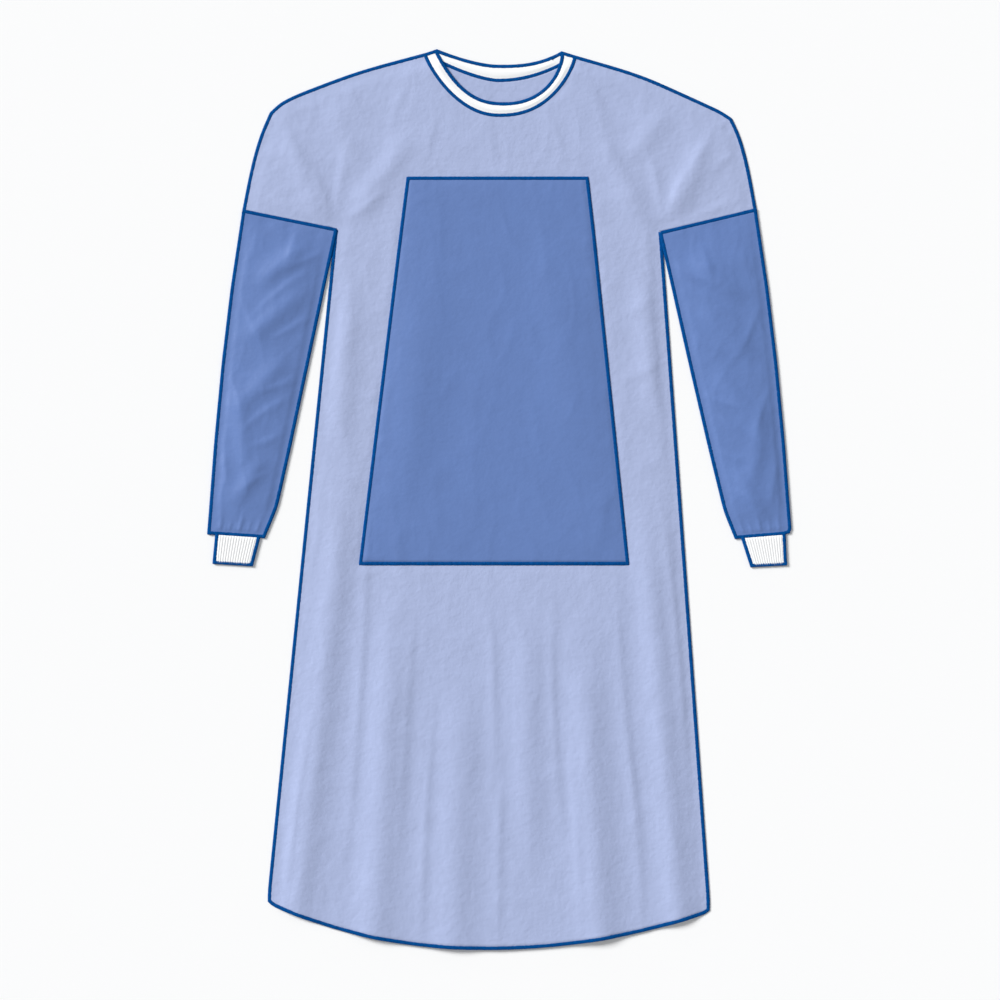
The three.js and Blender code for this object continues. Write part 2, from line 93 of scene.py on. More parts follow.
def noiseFactor(tree, vector, scale, detail, roughness=0.5):
    node = addNode(tree, "ShaderNodeTexNoise", Scale=scale, Detail=detail, Roughness=roughness)
    tree.links.new(vector, node.inputs["Vector"])
    return node.outputs["Fac"]


def remap(tree, value, fromMin, fromMax, toMin=0.0, toMax=1.0):
    node = addNode(tree, "ShaderNodeMapRange", From_Min=fromMin, From_Max=fromMax, To_Min=toMin, To_Max=toMax)
    tree.links.new(value, node.inputs["Value"])
    return node.outputs["Result"]


def combine(tree, operation, first, second):
    node = addNode(tree, "ShaderNodeMath", {"operation": operation})
    for socket, value in zip(node.inputs, (first, second)):
        if isinstance(value, (int, float)):
            socket.default_value = value
        else:
            tree.links.new(value, socket)
    return node.outputs["Value"]


def mixedTones(tree, weighted):
    total = None
    for tone, weight in weighted:
        part = combine(tree, "MULTIPLY", tone, weight)
        total = part if total is None else combine(tree, "ADD", total, part)
    return total


def shadeColour(tree, shader, colour, factor, darkest, lightest):
    ramp = addNode(tree, "ShaderNodeValToRGB")
    ramp.color_ramp.elements[0].color = tuple(c * darkest for c in colour[:3]) + (1,)
    ramp.color_ramp.elements[1].color = tuple(min(1, c * lightest) for c in colour[:3]) + (1,)
    tree.links.new(factor, ramp.inputs["Fac"])
    tree.links.new(ramp.outputs["Color"], shader.inputs["Base Color"])


def addBump(tree, shader, height, distance):
    bump = addNode(tree, "ShaderNodeBump", Strength=1.0, Distance=distance)
    tree.links.new(height, bump.inputs["Height"])
    tree.links.new(bump.outputs["Normal"], shader.inputs["Normal"])


def objectCoordinates(tree, turn=0, scale=(1, 1, 1)):
    coordinate = tree.nodes.new("ShaderNodeTexCoord")
    mapping = addNode(tree, "ShaderNodeMapping", Rotation=(0, 0, math.radians(turn)), Scale=scale)
    tree.links.new(coordinate.outputs["Object"], mapping.inputs["Vector"])
    return mapping.outputs["Vector"]


def cells(tree, vector, pitch, randomness):
    node = addNode(tree, "ShaderNodeTexVoronoi", {"feature": "F1"}, Scale=1 / pitch, Randomness=randomness)
    tree.links.new(vector, node.inputs["Vector"])
    return node.outputs["Distance"]


def bondedNonwoven(name, colour, look):
    # spunbond cloth: loose fibres pressed together at a grid of small points, a little crinkled
    material, tree, shader = newMaterial(name)
    plain = objectCoordinates(tree)
    pressed = remap(tree, cells(tree, objectCoordinates(tree, 45), look["bondPitch"] * mm, 0.0), 0.16, 0.34)
    fibres = noiseFactor(tree, plain, 1100, 3, 0.65)
    clouds = noiseFactor(tree, plain, 34, 4, 0.62)
    crinkle = noiseFactor(tree, plain, 120, 3, 0.55)
    height = mixedTones(tree, ((pressed, 0.05), (fibres, 0.05), (crinkle, look["crinkle"])))
    addBump(tree, shader, height, 1 * mm)
    tone = mixedTones(tree, ((clouds, 0.6), (fibres, 0.25), (pressed, 0.15)))
    shadeColour(tree, shader, colour, remap(tree, tone, 0.3, 0.75), 1 - look["mottle"], 1 + look["mottle"])
    setInputs(shader, Roughness=look["roughness"], Sheen_Weight=look["sheen"], Sheen_Roughness=0.5)
    return material


def ribKnit(name, colour, look):
    material, tree, shader = newMaterial(name)
    loops = cells(tree, objectCoordinates(tree, 0, (1.0, look["squeeze"], 1.0)), look["loop"] * mm, 0.25)
    fuzz = noiseFactor(tree, objectCoordinates(tree), 1600, 3, 0.6)
    height = combine(tree, "SUBTRACT", combine(tree, "MULTIPLY", fuzz, 0.5), loops)
    addBump(tree, shader, height, look["depth"] * mm)
    # painted shade: the colour follows the bump, darker in the low parts between the loops
    shadeColour(tree, shader, colour, remap(tree, height, -0.6, 0.4), look["darkest"], 1.0)
    setInputs(shader, Roughness=look["roughness"], Sheen_Weight=look["sheen"])
    return material


def bindingTape(name, colour, look):
    material, tree, shader = newMaterial(name)
    weave = cells(tree, objectCoordinates(tree, look["bias"]), look["weave"] * mm, 0.4)
    fuzz = noiseFactor(tree, objectCoordinates(tree), 1200, 3, 0.6)
    height = combine(tree, "ADD", weave, fuzz)
    addBump(tree, shader, height, look["depth"] * mm)
    # painted shade: the colour follows the bump, darker in the hollows of the weave
    shadeColour(tree, shader, colour, remap(tree, height, 0.3, 1.4), look["darkest"], 1.0)
    setInputs(shader, Roughness=look["roughness"])
    return material


def sewingThread(name, colour, look):
    material, tree, shader = newMaterial(name)
    twist = noiseFactor(tree, objectCoordinates(tree), 2400, 2, 0.6)
    shade = noiseFactor(tree, objectCoordinates(tree), 260, 2, 0.5)
    addBump(tree, shader, twist, look["depth"] * mm)
    # the colour is part random tone along the thread and part the twist's bump: painted shade in its grooves,
    # painted highlight on its ridges
    tone = mixedTones(tree, ((shade, 0.6), (twist, 0.4)))
    shadeColour(tree, shader, colour, remap(tree, tone, 0.3, 0.7), look["darkest"], look["lightest"])
    setInputs(shader, Roughness=look["roughness"], Specular_IOR_Level=look["gloss"])
    return material


lightNonwoven = bondedNonwoven(
    "light blue nonwoven",
    colours["lightBlue"],
    {"bondPitch": 2.2, "crinkle": 0.7, "mottle": 0.05, "roughness": 0.8, "sheen": 0.12},
)
midLaminate = bondedNonwoven(
    "mid blue laminate",
    colours["midBlue"],
    {"bondPitch": 1.6, "crinkle": 0.4, "mottle": 0.05, "roughness": 0.55, "sheen": 0.05},
)
whiteKnit = ribKnit(
    "white rib knit",
    colours["white"],
    {"loop": 1.1, "squeeze": 1.35, "depth": 0.22, "darkest": 0.92, "roughness": 0.92, "sheen": 0.2},
)
whiteTape = bindingTape(
    "white binding tape",
    colours["white"],
    {"weave": 0.8, "bias": 30, "depth": 0.1, "darkest": 0.96, "roughness": 0.85},
)
blueThread = sewingThread(
    "dark blue thread",
    colours["darkBlue"],
    {"depth": 0.08, "darkest": 0.8, "lightest": 1.3, "roughness": 0.85, "gloss": 0.04},
)
print("materials made")


# Lines on the garment, in millimetres

neck = {
    "seam": {"left": (-104.3, 623.6), "right": (105.7, 620.4)},
    "edge": {"left": (-87.6, 629.0), "right": (87.0, 626.2)},
    # depth and place of the lowest point, then the power and bend of the left and the right half
    "frontSeam": {"depth": 84.5, "lowest": -3.1, "left": (1.99, 0.829), "right": (2.36, 0.732)},
    "frontEdge": {"depth": 73.0, "lowest": 4.2, "left": (2.38, 0.893), "right": (2.19, 0.531)},
    "backSeam": {"depth": 35.5, "lowest": -3.5, "left": (1.5, 1), "right": (2.0, 1)},
    "backEdge": {"depth": 20.3, "lowest": -5.5, "left": (1.56, 1), "right": (2.7, 1)},
    "samples": 161,
}

corners = {
    "armpitLeft": (-229.6, 377.4),
    "armpitRight": (226.2, 373.2),
    "hemLeft": (-324.8, -564.6),
    "hemRight": (294.6, -577.0),
    "overarmLeft": (-359.0, 403.6),
    "overarmRight": (359.0, 405.2),
    "panelTopLeft": (-128.5, 450.1),
    "panelTopRight": (123.2, 450.1),
    "panelBottomRight": (180.0, -90.4),
    "panelBottomLeft": (-195.4, -90.4),
    "neckLeft": neck["seam"]["left"],
    "neckRight": neck["seam"]["right"],
}


def between(low, high, share):
    return low + (high - low) * share


def neckline(name):
    # the points from the left shoulder tip to the right one
    tips, shape = neck["seam" if name.endswith("Seam") else "edge"], neck[name]
    turn = np.linspace(0, 1, neck["samples"])
    if name.startswith("front"):  # its steep ends take closer points
        turn = (1 - np.cos(np.pi * turn)) / 2
    (x0, y0), (x1, y1) = tips["left"], tips["right"]
    x = between(x0, x1, turn)
    onLeft = x < shape["lowest"]
    away = np.clip((x - shape["lowest"]) / (np.where(onLeft, x0, x1) - shape["lowest"]), 0, 1)
    power, bend = (np.where(onLeft, shape["left"][k], shape["right"][k]) for k in (0, 1))
    return np.stack([x, between(y0, y1, turn) - shape["depth"] * (1 - away ** power) ** bend], 1)


neckLines = {name: neckline(name) for name in ("frontSeam", "frontEdge", "backSeam", "backEdge")}


def resampled(line, step):
    line = np.asarray(line, float)
    lengths = np.concatenate([[0], np.cumsum(np.hypot(*(line[1:, :2] - line[:-1, :2]).T))])
    at = np.linspace(0, lengths[-1], max(2, int(round(lengths[-1] / step)) + 1))
    return np.stack([np.interp(at, lengths, line[:, k]) for k in range(line.shape[1])], 1)


def softened(line, rounds):
    # rounds off the slight corners of a line and keeps its ends
    line = line.copy()
    for _ in range(rounds):
        line[1:-1] += (line[:-2] + line[2:] - 2 * line[1:-1]) / 4
    return line


def eased(t):
    t = np.clip(t, 0, 1)
    return t * t * (3 - 2 * t)


def distanceTo(lines, step=1.5, apart=400):
    # gives a function that says how far points lie from the nearest line, and where along the lines
    samples = [resampled(line, step)[:, :2] for line in lines]
    starts = np.cumsum([0] + [len(s) * step + apart for s in samples[:-1]])
    along = np.concatenate([start + step * np.arange(len(s)) for start, s in zip(starts, samples)])
    tree = KDTree(len(along))
    for i, (x, y) in enumerate(np.concatenate(samples)):
        tree.insert((x, y, 0), i)
    tree.balance()

    def measure(x, y):
        found = [tree.find((px, py, 0)) for px, py in zip(x, y)]
        return np.array([f[2] for f in found]), along[[f[1] for f in found]]

    return measure


def besideLine(x, y, x0, y0, x1, y1):
    # the share of the line's length that each point is along it, and how far to its side
    dx, dy = x1 - x0, y1 - y0
    length = math.hypot(dx, dy)
    return ((x - x0) * dx + (y - y0) * dy) / length ** 2, ((x - x0) * dy - (y - y0) * dx) / length


def foldHeights(folds, x, y):
    # broad folds: (start x, start y, end x, end y, rise, half width, runs out at its end)
    total = np.zeros_like(x)
    for *line, rise, half, opened in folds:
        along, aside = besideLine(x, y, *line)
        ends = eased(along / 0.35) * (1 if opened else eased((1 - along) / 0.35))
        total += rise * ends * np.exp(-(aside / half) ** 2)
    return total


def creaseHeights(creases, x, y):
    # finer creases, steeper on one side: (start x, start y, end x, end y, rise, half width, bow)
    total = np.zeros_like(x)
    for *line, rise, half, bow in creases:
        along, aside = besideLine(x, y, *line)
        aside = aside - bow * np.sin(np.pi * np.clip(along, 0, 1))
        width = half * np.where(aside > 0, 1.6, 0.85)
        ends = eased(along / 0.4) * eased((1 - along) / 0.45)
        total += rise * ends * np.exp(-np.abs(aside / width) ** 1.6)
    return total


def waves(x, y, size, seed):
    return np.array([noise.noise(Vector((px / size, py / size, seed))) for px, py in zip(x, y)])


def crumple(x, y, size, seed):
    # faint ridges with soft facets between them, as in limp paper-like cloth
    return (1 - np.abs(waves(x, 0.6 * y, size, seed)) * 2) ** 3


def puckers(distance, along, rise, reach, length, seed):
    # short gathers that start at a row of stitches and die out over its reach
    distance = np.maximum(distance, 0)
    size = np.array([noise.noise(Vector((s / length, seed, 0.5))) for s in along])
    return rise * size * eased(distance / 3) * np.exp(-distance / reach)


# Skins: the outer faces of a solid as one sheet or tube, before it gets its thickness

def weldedCopy(nodeName):
    bm = bmesh.new()
    bm.from_mesh(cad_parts[nodeName].data)
    bmesh.ops.remove_doubles(bm, verts=bm.verts, dist=0.01 * mm)
    bm.normal_update()
    return bm


def upperSkin(nodeName):
    bm = weldedCopy(nodeName)
    bmesh.ops.delete(bm, geom=[f for f in bm.faces if f.normal.z < 0.1], context="FACES")
    return bm


def outerSkin(nodeName):
    # a flattened tube's outer wall: its end rims go, then all that doesn't hang on the lowest face
    bm = weldedCopy(nodeName)
    rims = [f for f in bm.faces if abs(f.normal.y) > 0.85 and abs(f.normal.z) < 0.2]
    bmesh.ops.delete(bm, geom=rims, context="FACES")
    start = min(bm.faces, key=lambda f: f.calc_center_median().z)
    kept, front = {start}, [start]
    while front:
        for edge in front.pop().edges:
            for other in edge.link_faces:
                if other not in kept:
                    kept.add(other)
                    front.append(other)
    bmesh.ops.delete(bm, geom=[f for f in bm.faces if f not in kept], context="FACES")
    return bm


def refine(bm, cuts, lengthwiseCuts=None):
    bmesh.ops.join_triangles(bm, faces=bm.faces, angle_face_threshold=1.2, angle_shape_threshold=2.4)
    if lengthwiseCuts is not None:  # on a tube, the long edges down it come first
        lengthwise = [e for e in bm.edges if abs(e.verts[0].co.y - e.verts[1].co.y) > 12 * mm]
        bmesh.ops.subdivide_edges(bm, edges=lengthwise, cuts=lengthwiseCuts, use_grid_fill=True)
        edges = [e for e in bm.edges if abs(e.verts[0].co.y - e.verts[1].co.y) <
                 abs(e.verts[0].co.x - e.verts[1].co.x) + abs(e.verts[0].co.z - e.verts[1].co.z)]
    else:
        edges = bm.edges
    bmesh.ops.subdivide_edges(bm, edges=edges, cuts=cuts, use_grid_fill=True)
    return bm


def outlineOf(bm):
    # the open edge of the sheet as a loop of vertices, with the cloth on its left
    border = {e for e in bm.edges if e.is_boundary}
    loops = []
    while border:
        edge = next(iter(border))
        start = edge.verts[0]
        chain, at = [start], start
        while edge:
            border.discard(edge)
            at = edge.other_vert(at)
            if at == start:
                break
            chain.append(at)
            edge = next((e for e in at.link_edges if e in border), None)
        loops.append(chain)
    longest = max(loops, key=len)
    turning = sum(a.co.x * b.co.y - b.co.x * a.co.y for a, b in zip(longest, longest[1:] + longest[:1]))
    return longest if turning > 0 else longest[::-1]


def easeOutline(bm, rounds=8, sharp=0.3, blunt=(), bluntReach=9, bluntRounds=3):
    # rounds off the straight cuts between the solid's points, leaves its real corners, and blunts a few
    loop = outlineOf(bm)
    points = np.array([v.co.xy for v in loop])
    before, after = points - np.roll(points, 1, 0), np.roll(points, -1, 0) - points
    turn = np.arctan2(before[:, 0] * after[:, 1] - before[:, 1] * after[:, 0], (before * after).sum(1))
    free = (np.abs(turn) < sharp)[:, None]
    bluntHere = np.zeros_like(free)
    for name in blunt:
        bluntHere |= (np.hypot(*(points / mm - corners[name]).T) < bluntReach)[:, None]
    for step in range(rounds):
        moved = points / 2 + (np.roll(points, 1, 0) + np.roll(points, -1, 0)) / 4
        points = np.where(free | bluntHere if step < bluntRounds else free, moved, points)
    for vert, spot in zip(loop, points):
        vert.co.xy = spot
    return points / mm


def stretch(outline, start, end):
    # the outline's points from the one nearest the first corner on to the one nearest the second
    first, last = (int(np.hypot(*(outline - corners[name]).T).argmin()) for name in (start, end))
    return outline[first:last + 1] if first <= last else np.concatenate([outline[first:], outline[:last + 1]])


def joinedRow(bm, points, closed=False):
    verts = [bm.verts.new(point) for point in points]
    return [bm.edges.new(pair) for pair in zip(verts, verts[1:] + (verts[:1] if closed else []))]


def bridged(bm, rows, cuts):
    # rows of edges bridged one to the next, each bridge cut into so many strips more
    for first, second, stripCuts in zip(rows, rows[1:], cuts):
        before = set(bm.edges)
        bmesh.ops.bridge_loops(bm, edges=first + second)
        across = [e for e in bm.edges if e not in before]
        if stripCuts:
            bmesh.ops.subdivide_edges(bm, edges=across, cuts=stripCuts, use_grid_fill=True)
    bmesh.ops.recalc_face_normals(bm, faces=bm.faces)
    if max(bm.faces, key=lambda f: f.calc_center_median().z).normal.z < 0:
        bmesh.ops.reverse_faces(bm, faces=bm.faces)
    return bm


def sheetBetween(first, second, cuts):
    # a band of cloth between two lines with as many points each
    bm = bmesh.new()
    rows = [joinedRow(bm, [(x * mm, y * mm, 0) for x, y in line]) for line in (first, second)]
    return bridged(bm, rows, [cuts])


def toPiece(bm, name, material):
    mesh = bpy.data.meshes.new(name)
    bm.normal_update()
    bm.to_mesh(mesh)
    bm.free()
    for polygon in mesh.polygons:
        polygon.use_smooth = True
    mesh.materials.append(material)
    made = bpy.data.objects.new(name, mesh)
    bpy.context.scene.collection.objects.link(made)
    return made


def places(piece):
    flat = np.empty(len(piece.data.vertices) * 3, np.float32)
    piece.data.vertices.foreach_get("co", flat)
    return flat.reshape(-1, 3).astype(float) / mm


def place(piece, points):
    piece.data.vertices.foreach_set("co", (points * mm).astype(np.float32).ravel())
    piece.data.update()


def setHeights(piece, heights):
    points = places(piece)
    points[:, 2] = heights
    place(piece, points)


surfaces = {}  # what the stitches lie on, by piece


def finishSkin(piece, thickness, allRound=False, seamLine=None):
    mesh = piece.data
    surfaces[piece.name] = BVHTree.FromPolygons(
        [v.co.copy() for v in mesh.vertices], [tuple(p.vertices) for p in mesh.polygons]
    )
    size = np.ptp(places(piece), axis=0) * mm
    area = sum(p.area for p in mesh.polygons)
    width, length = size[0] * (2 if allRound else 1), size[1]
    if seamLine is not None:  # a straight tape is as long as the seam it is sewn to
        length = np.hypot(*np.diff(seamLine, axis=0).T).sum() * mm
        width = area / length
    wall = piece.modifiers.new("cloth thickness", "SOLIDIFY")
    wall.thickness = thickness * mm
    wall.offset = -1


def declareCloth(piece, nodes):
    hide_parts(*nodes)
    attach(piece, "root")


# Back, in two overlapped halves

back = {
    "cuts": 5,
    # where the halves overlap: the left line's top and foot, then the right one's
    "doubledLines": (neck["seam"]["left"], (-150, -629), neck["seam"]["right"], (150, -629)),
    "bridge": 60,  # the front comes down beside them over this width
    "solidTop": 1.0,
    "solidRise": 1.3,  # how much higher the solid lies where it is doubled
    "creases": (
        (-60, 590, -90, 380, 0.42, 7.4, 6), (48, 575, 70, 300, 0.42, 8.3, -7),
        (-20, 588, -8, 520, 0.35, 5.5, 3), (10, 585, 30, 500, 0.28, 5.5, -3),
        (-34, 300, -58, -60, 0.8, 9.2, 8), (40, 240, 26, -160, 0.7, 8.3, -7),
        (-12, 60, 16, -330, 0.9, 10.1, 9), (62, -120, 84, -520, 0.8, 9.2, -6),
        (-70, -180, -88, -560, 0.7, 8.3, 6), (6, -330, -20, -610, 0.6, 8.3, 5),
        (-84, 210, 60, 176, 0.5, 8.3, 9), (-96, -60, 70, -96, 0.5, 9.2, -8),
    ),
    # in the single cloth beside the overlap
    "sideCreases": (
        (-186, 340, -214, 60, 0.5, 8.3, 6), (-168, 110, -236, -260, 0.55, 9.2, -8),
        (-232, -60, -262, -420, 0.4, 8.3, -5), (-190, -300, -226, -570, 0.55, 9.2, 7),
        (-250, -330, -196, -372, 0.4, 7.4, 5), (-208, 410, -300, 500, 0.5, 8.3, 6),
        (-160, 560, -196, 420, 0.45, 8.3, -6), (-322, 430, -282, 505, 0.4, 7.4, -4),
        (182, 330, 206, 40, 0.5, 8.3, -7), (172, 60, 232, -240, 0.55, 9.2, 7),
        (226, -90, 240, -440, 0.4, 8.3, -5), (184, -280, 214, -560, 0.5, 9.2, -6),
        (238, -220, 182, -262, 0.4, 7.4, 5), (206, 404, 296, 490, 0.5, 8.3, -6),
        (158, 552, 190, 412, 0.45, 8.3, 5), (318, 424, 284, 498, 0.4, 7.4, 4),
    ),
}


def backHeights(points):
    x, y, top = points.T
    raised = np.clip((top - back["solidTop"]) / back["solidRise"], 0, 1)
    height = between(levels["backTop"], levels["backDoubledTop"], raised)
    height += raised * np.maximum(0, creaseHeights(back["creases"], x, y))
    return height + creaseHeights(back["sideCreases"], x, y)


backPieces = {}
for half in ("outer", "inner"):
    skin = refine(upperSkin("back_" + half), back["cuts"])
    easeOutline(skin, blunt=("hemLeft", "hemRight"))
    piece = toPiece(skin, "back_" + half + "_cloth", lightNonwoven)
    setHeights(piece, backHeights(places(piece)))
    finishSkin(piece, levels["skin"])
    backPieces[half] = piece
print("back halves cut")


# Front

front = {
    "cuts": 5,
    "folds": (
        (-204, 130, -284, -590, 3.4, 20, True), (-148, -120, -178, -625, 4.2, 24, True),
        (-52, -210, -66, -640, 3.2, 25, True), (34, -120, 44, -560, 2.7, 22, False),
        (112, -150, 142, -630, 4.0, 23, True), (196, 60, 252, -600, 3.6, 19, True),
        (-214, 386, -116, 520, 2.5, 16, False), (211, 382, 128, 528, 2.9, 16, False),
        (-238, 384, -306, 516, 3.1, 16, False), (236, 382, 296, 508, 2.8, 16, False),
        (-246, 566, -182, 446, 1.8, 17, False), (238, 556, 176, 462, 2.2, 16, False),
        (-96, 350, -136, -50, 1.9, 30, False), (66, 400, 116, 10, 1.7, 31, False),
        (-204, 345, -226, 30, 2.3, 16, False), (199, 350, 218, 90, 2.1, 16, False),
    ),
    "creases": (
        (-240, 90, -298, -430, 1.12, 6, 7), (-182, 60, -226, -600, 1.26, 6.4, -9),
        (-112, -96, -140, -560, 0.98, 6.9, 6), (-88, -240, -112, -690, 1.26, 5.5, 4),
        (-16, -110, -12, -480, 0.98, 6.4, -7), (8, -300, -2, -700, 1.12, 6, 4),
        (74, -100, 94, -520, 1.26, 6.4, 8), (98, -280, 116, -700, 0.84, 5.1, -3),
        (160, -60, 206, -540, 1.12, 6.4, 7), (172, -260, 204, -690, 1.12, 5.5, -5),
        (216, 60, 268, -440, 1.12, 6, -7), (-258, -260, -306, -620, 0.98, 5.1, 3),
        (-160, -310, -44, -336, 0.63, 5.5, 9), (30, -400, 158, -372, 0.56, 5.5, -8),
        (-268, -470, -196, -500, 0.56, 4.6, 4), (262, -300, 196, -322, 0.63, 4.6, 4),
        (-40, -560, 70, -548, 0.49, 5.5, 6), (-234, 170, -150, 134, 0.84, 5.5, 5),
        (-248, 40, -176, 10, 0.7, 5.5, -4), (-226, 268, -160, 226, 0.84, 5.1, 4),
        (230, 196, 158, 162, 0.84, 5.5, -5), (242, 60, 180, 28, 0.7, 5.5, 4),
        (224, 290, 166, 254, 0.77, 5.1, -4), (-226, 384, -142, 452, 1.26, 5.5, 4),
        (-230, 386, -204, 520, 1.12, 5.5, -5), (-236, 386, -276, 486, 1.12, 6, 5),
        (-240, 382, -336, 436, 0.98, 5.5, -4), (224, 380, 140, 446, 1.12, 5.5, -4),
        (228, 382, 198, 512, 1.26, 5.5, 5), (234, 382, 270, 478, 1.12, 6, -5),
        (240, 378, 338, 430, 0.98, 5.5, 4), (-122, 600, -154, 500, 0.84, 5.5, 4),
        (120, 598, 150, 506, 0.84, 5.5, -4), (-80, 552, -104, 462, 0.63, 6.4, 4),
        (66, 546, 92, 462, 0.63, 6.4, -4), (-12, 532, -4, 462, 0.56, 7.4, 3),
        (-306, 540, -262, 462, 0.98, 6.4, 5), (-334, 500, -282, 446, 0.84, 5.5, -4),
        (304, 530, 258, 458, 0.98, 6.4, -5), (336, 492, 286, 440, 0.84, 5.5, 4),
        (-210, 590, -190, 520, 0.63, 6.4, 4), (206, 584, 192, 516, 0.63, 6.4, -3),
    ),
    "crumple": {"rise": 0.35, "size": 46, "seed": 7.7},
    "waves": {"rise": 0.5, "size": 120, "seed": 3.1},
    # puckers beside a seam: rise, reach, length along the seam, seed
    "edgePuckers": (0.9, 9, 13, 1.7),
    "panelPuckers": (0.72, 8, 15, 5.3),
    "neckPuckers": (0.63, 9, 12, 9.1),
    # how far beside a seam the relief takes to grow
    "foldFade": 24,
    "edgeFade": 10,
    "panelFade": 7,
    "neckFade": 10,
    "besideRow": 2,  # it starts this far from the rows at the reinforcement and the neck
    "shoulderFade": (3, 14),  # the neck's puckers stop there, and grow over this
}

panel = {
    "creases": (
        (-96, 430, -66, 190, 0.45, 9, 8), (44, 440, 70, 236, 0.4, 9, -7),
        (-156, 60, -126, -120, 0.45, 8, 6), (158, 70, 124, -110, 0.45, 8, -5),
        (-22, 240, -36, -70, 0.4, 10, 8), (-10, 300, 96, 262, 0.3, 8, 6),
        (-140, 190, -40, 150, 0.3, 8, -7), (60, 60, 156, 30, 0.3, 8, 5),
        (-110, -10, -10, -34, 0.25, 7, 6),
    ),
    "dent": 0.5,  # how far its stitches press the front down
    "dentWidth": 5,
    "puff": 0.45,
    "puffFade": 28,
    "creaseFade": 25,
    "puckers": (0.45, 9, 14, 2.9),
    "outlineRounds": 4,
}

skin = refine(upperSkin("front_body"), front["cuts"])
frontOutline = easeOutline(skin, blunt=("hemLeft", "hemRight"))
frontPiece = toPiece(skin, "front_cloth", lightNonwoven)
skin = refine(upperSkin("front_reinforcement"), front["cuts"])
panelOutline = easeOutline(skin, panel["outlineRounds"])
panelPiece = toPiece(skin, "reinforcement_cloth", midLaminate)

frontLines = {
    "sideLeft": stretch(frontOutline, "armpitLeft", "hemLeft"),
    "hem": stretch(frontOutline, "hemLeft", "hemRight"),
    "sideRight": stretch(frontOutline, "hemRight", "armpitRight"),
    "sleeveSeamRight": stretch(frontOutline, "armpitRight", "overarmRight"),
    "shoulderRight": np.vstack([stretch(frontOutline, "overarmRight", "neckRight"), neck["edge"]["right"]]),
    "shoulderLeft": np.vstack([neck["edge"]["left"], stretch(frontOutline, "neckLeft", "overarmLeft")]),
    "sleeveSeamLeft": stretch(frontOutline, "overarmLeft", "armpitLeft"),
}
panelCorners = ("panelTopLeft", "panelBottomLeft", "panelBottomRight", "panelTopRight", "panelTopLeft")
panelLines = [stretch(panelOutline, *ends) for ends in zip(panelCorners, panelCorners[1:])]
sewnEdges = ("sideLeft", "sideRight", "shoulderRight", "shoulderLeft")
sleeveSeams = ("sleeveSeamLeft", "sleeveSeamRight")
toSewnEdge = distanceTo([frontLines[name] for name in sewnEdges])
toAnySeam = distanceTo([frontLines[name] for name in sewnEdges + sleeveSeams])
toPanelSeam = distanceTo(panelLines)
toNeckSeam = distanceTo([neckLines["frontSeam"]])


def pastDoubled(x, y):
    # 0 over the doubled back, 1 past the strip in which the front comes down beside it
    (x0, top), (x1, bottom), (x2, _), (x3, _) = back["doubledLines"]
    down = (top - y) / (top - bottom)
    return np.maximum(np.maximum(x0 + (x1 - x0) * down - x, x - x2 - (x3 - x2) * down), 0) / back["bridge"]


def frontHeights(x, y):
    toBack, _ = toSewnEdge(x, y)
    toSeam, along = toAnySeam(x, y)
    toPanel, panelAlong = toPanelSeam(x, y)
    toNeck, neckAlong = toNeckSeam(x, y)
    level = between(levels["frontTop"], levels["frontDoubledTop"], 1 - eased(pastDoubled(x, y)))
    flat, rowHalf = levels["seamFlat"], levels["rowHalf"]
    relief = foldHeights(front["folds"], x, y) * eased((toSeam - flat) / front["foldFade"])
    fine = creaseHeights(front["creases"], x, y)
    for texture, kind in ((waves, "waves"), (crumple, "crumple")):
        fine += front[kind]["rise"] * texture(x, y, front[kind]["size"], front[kind]["seed"])
    fine *= eased((toSeam - flat) / front["edgeFade"])
    fine *= eased((toPanel - front["besideRow"]) / front["panelFade"])
    relief += fine * eased((toNeck - front["besideRow"]) / front["neckFade"])
    relief -= panel["dent"] * np.exp(-(toPanel / panel["dentWidth"]) ** 2)
    height = level + relief
    height = between(levels["sewnTop"], height, eased((toBack - flat) / levels["sinkWidth"]))
    height += puckers(toSeam - flat, along, *front["edgePuckers"])
    height += puckers(toPanel - rowHalf, panelAlong, *front["panelPuckers"])
    start, width = front["shoulderFade"]
    height += puckers(toNeck - rowHalf, neckAlong, *front["neckPuckers"]) * eased((toBack - start) / width)
    return np.maximum(height, levels["sewnTop"])


def panelHeights(x, y):
    # on the front it is sewn to, and a little fuller between its rows of stitches
    toPanel, along = toPanelSeam(x, y)
    inside = toPanel - levels["rowHalf"]
    own = creaseHeights(panel["creases"], x, y) * eased(toPanel / panel["creaseFade"])
    own += panel["puff"] * eased(inside / panel["puffFade"])
    own += np.abs(puckers(inside, along, *panel["puckers"]))
    return frontHeights(x, y) + levels["panelAbove"] + np.maximum(own, 0)


for piece, heights in ((frontPiece, frontHeights), (panelPiece, panelHeights)):
    x, y, _ = places(piece).T
    setHeights(piece, heights(x, y))
    finishSkin(piece, levels["skin"])
print("front and reinforcement cut")


# Lower sleeves, each one tube pressed flat

